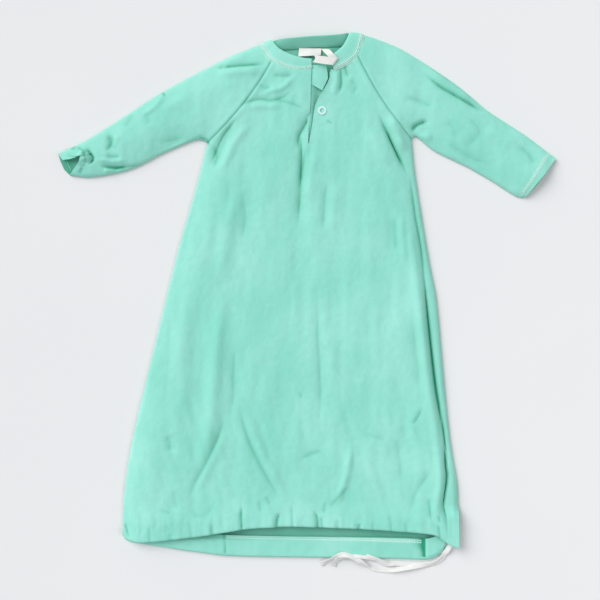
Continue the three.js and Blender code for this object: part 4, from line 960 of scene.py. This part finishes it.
stitches("placket_tack", [(on_top(along(np.array(tack) + (0, k), np.linspace(0, 1, 8))), (0, 0, 1))
                          for k in (0, 0.7)], thread_dull, "torso", ["placket_bar_tack"], pitch=0.9, length=1.4)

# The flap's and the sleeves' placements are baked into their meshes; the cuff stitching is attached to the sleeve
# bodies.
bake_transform(flap)
for name in ("left", "right"):
    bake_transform(sleeve_nets[name + "_piece"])


# ---- Tapes -----------------------------------------------------------------------------------
TAPE_WIDTH, TAPE_THICK = 6, 0.7
LONG_TAIL = [
    (153.5, -251.9, 9.1), (157.8, -252.5, 8.9), (161, -257.6, 8.2), (162, -263, 6.8), (161.6, -268.4, 5.2),
    (159.8, -274, 3.9), (157, -280, 2.9), (153.4, -285.8, 2.1), (148.6, -291.8, 1.8), (141, -296.3, 1.8),
    (131.5, -297.8, 1.8), (120, -299.4, 1.8), (108, -301.6, 1.8), (98, -303, 1.6), (88, -303.6, 0.8),
    (78, -302.8, 0.7), (71, -300.6, 1.1), (65.5, -297.4, 3.2), (60, -293.4, 5.4), (54, -289.4, 5.9),
    (48, -286.6, 6), (42, -285.4, 6), (35.5, -287, 6), (29, -290.4, 5.4), (23, -293.8, 3.4), (17.1, -297, 1),
]
SHORT_TAIL = [
    (141.9, -280.9, 1.6), (147, -281.2, 1.5), (151.4, -283.6, 1.1), (152.4, -287.8, 0.8), (148.6, -292, 0.6),
    (141.6, -295.6, 0.6), (132.5, -297.2, 0.6), (124, -297.8, 0.6), (116, -297.9, 0.6), (108, -297.2, 0.6),
    (100, -296, 0.9), (93, -296.2, 2.4), (86, -294.4, 4), (78, -291, 4.2), (70, -288.9, 4.2), (61, -287.2, 4.2),
    (52, -286.6, 4.2), (44, -287.2, 4.2), (37.6, -289.4, 4.2), (33.4, -293.4, 3.3), (30.8, -299, 0.8),
]


def tape(name, route, node, lean):
    """A flat tape along a route, rolled a little about its middle, with its woven edges."""
    line = rounded(route, 6)
    ahead = np.gradient(line, axis=0)
    ahead /= np.linalg.norm(ahead, axis=1)[:, None]
    side = np.cross(ahead, (0, 0, 1.0))
    side /= np.linalg.norm(side, axis=1)[:, None]
    up = np.cross(side, ahead)
    share = np.linspace(0, 1, len(line))
    tilt = lean * np.sin(share * 21 + 0.7) * np.minimum(1, share * 6) * np.minimum(1, (line[:, 2] - 0.5) / 1.5)
    side, up = (np.cos(tilt)[:, None] * side + np.sin(tilt)[:, None] * up,
                np.cos(tilt)[:, None] * up - np.sin(tilt)[:, None] * side)
    ring = []
    for w, h in ((-1, 0), (-0.93, 0.42), (-0.5, 0.36), (0, 0.32), (0.5, 0.36), (0.93, 0.42), (1, 0), (0.93, -0.42),
                 (0.5, -0.48), (0, -0.5), (-0.5, -0.48), (-0.93, -0.42)):
        ring.append(line + side * (w * TAPE_WIDTH / 2) + up * (h * TAPE_THICK))
    points = np.array(ring).transpose(1, 0, 2)
    points[..., 2] = np.maximum(points[..., 2], 0.1)
    piece = grid(name, points, twill, closed=True, thick=0)
    edit = bmesh.new()
    edit.from_mesh(piece.data)
    bmesh.ops.holes_fill(edit, edges=[e for e in edit.edges if e.is_boundary], sides=0)
    bmesh.ops.recalc_face_normals(edit, faces=edit.faces)
    edit.to_mesh(piece.data)
    edit.free()
    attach(piece, "drawstring")
    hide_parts(node)
    return piece


def hidden_loop():
    """The tape's run inside the casing, from the back round the left corner to the front."""
    low = along(BACK_HEM, np.linspace(0.78, 0.03, 50)) + (0, 10.5)
    high = along(FRONT_HEM, np.linspace(0.03, 0.74, 50)) + (0, 10.5)
    low = np.column_stack([low, np.full(50, LAID + 1.5)])
    high = np.column_stack([high, upper_height(high[:, 0], high[:, 1])[0] - 2.0])
    high[:, 2] = np.convolve(np.pad(high[:, 2], 3, "edge"), np.ones(7) / 7, "valid") - 0.2
    line = np.vstack([low, high])
    sections = [line + (0, w, h) for w, h in ((-3.2, -0.3), (3.2, -0.3), (3.2, 0.3), (-3.2, 0.3))]
    piece = grid("tape_in_casing", np.array(sections).transpose(1, 0, 2), twill, closed=True, thick=0)
    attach(piece, "torso")
    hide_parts("drawstring_loop")


hidden_loop()
tape("tape_long", LONG_TAIL, "tail_long", 0.8)
tape("tape_short", SHORT_TAIL, "tail_short", 0.6)


# ---- Labels ----------------------------------------------------------------------------------
label_us, label_vs = np.linspace(0, 1, 16), np.linspace(0, 1, 12)
size_flat = coons(along([(-7, 271.6), (17.6, 271.4)], label_us),
                  along([(-8, 262.4), (3, 262.6), (16.8, 263.6)], label_us),
                  along([(-7, 271.6), (-8, 262.4)], label_vs), along([(17.6, 271.4), (16.8, 263.6)], label_vs),
                  label_us, label_vs)
size_z = 1.9 + 1.5 * np.sin(np.pi * label_us)[None, :] * smooth(label_vs)[:, None] + 1.2 * label_vs[:, None]
size_label = grid("size_tag", np.dstack([size_flat, size_z]), satin, thick=0.3, flip=True)
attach(size_label, "size_label")
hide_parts("size_label")

root, fold_at, tip = np.array([21.6, 270.7, 1.9]), np.array([33.0, 254.2, 11.4]), np.array([8.4, 258.0, 12.6])
rows = []
for share in np.linspace(0, 1, 12):
    centre = root + (fold_at - root) * share
    centre[2] = root[2] + (fold_at[2] - root[2]) * min(1, 2 * share)
    direction = np.array([1, 0.0, 0]) * (1 - share) + np.array([0.62, 0.78, 0]) * share
    direction /= np.linalg.norm(direction)
    twist = math.radians(50) * math.sin(math.pi * share)
    direction = math.cos(twist) * direction + math.sin(twist) * np.array([0, 0, 1])
    rows.append([centre + direction * k * (0.85 + 0.15 * share) for k in (-4.5, -2.2, 0, 2.2, 4.5)])
for share in np.linspace(0.04, 1, 14):
    centre = fold_at + (tip - fold_at) * share + (0, 0, 0.8 + 0.5 * math.sin(math.pi * share))
    turn = smooth(share * 1.4)
    direction = np.array([0.62, 0.78, 0]) * (1 - turn) + np.array([0.14, 0.99, 0]) * turn
    direction /= np.linalg.norm(direction)
    rows.append([centre + direction * k * (1 if k < 0 else 1 - 0.25 * share)
                 + (2.2 * share**4 * (1 - (k / 4.5) ** 2), 0, 0) for k in (-4.5, -2.2, 0, 2.2, 4.5)])
care_label = grid("care_tag", np.array(rows), satin, thick=0.3)
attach(care_label, "care_label")
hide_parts("care_label")

# ---- What the CAD model already has in its true shape ----------------------------------------
for node, material in (("snap_cap_ring", enamel), ("snap_socket", nickel), ("snap_stud", nickel),
                       ("snap_back_ring", nickel),
                       ("drawstring_end_back", twill), ("drawstring_end_front", twill)):
    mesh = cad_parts[node].data
    mesh.materials.clear()
    mesh.materials.append(material)

# ---- Table and light -------------------------------------------------------------------------
floor_nodes = Nodes("table")
floor_nodes.put(floor_nodes.shader.inputs["Base Color"],
                floor_nodes.mix(floor_nodes.noise(floor_nodes.object, 3, 2), srgb(233, 234, 234), srgb(238, 238, 238)))
floor_nodes.shader.inputs["Roughness"].default_value = 0.9
floor_mesh = bpy.data.meshes.new("table")
floor_mesh.from_pydata([(-3, -3, 0), (3, -3, 0), (3, 3, 0), (-3, 3, 0)], [], [(0, 1, 2, 3)])
floor_mesh.materials.append(floor_nodes.material)
table = bpy.data.objects.new("table", floor_mesh)
scene.collection.objects.link(table)

world = bpy.data.worlds.new("studio")
scene.world = world
world.use_nodes = True
world.node_tree.nodes["Background"].inputs[0].default_value = (0.93, 0.96, 1.0, 1)
world.node_tree.nodes["Background"].inputs[1].default_value = 0.485


def lamp(name, place, size, energy, colour=(1, 1, 1)):
    light = bpy.data.lights.new(name, "AREA")
    light.shape = "DISK"
    light.size = size
    light.energy = energy
    light.color = colour
    piece = bpy.data.objects.new(name, light)
    piece.location = place
    direction = -np.array(place)
    tilt = math.acos(-direction[2] / np.linalg.norm(direction))
    piece.rotation_euler = (tilt, 0, math.atan2(direction[1], direction[0]) - math.pi / 2)
    scene.collection.objects.link(piece)
    return piece


key = bpy.data.lights.new("key", "SUN")
key.energy, key.angle = 2.36, math.radians(44)
key_light = bpy.data.objects.new("key", key)
key_light.rotation_euler = (math.radians(54), 0, math.radians(232))
scene.collection.objects.link(key_light)
lamp("fill", (2.2, -0.8, 2.6), 2.0, 16)
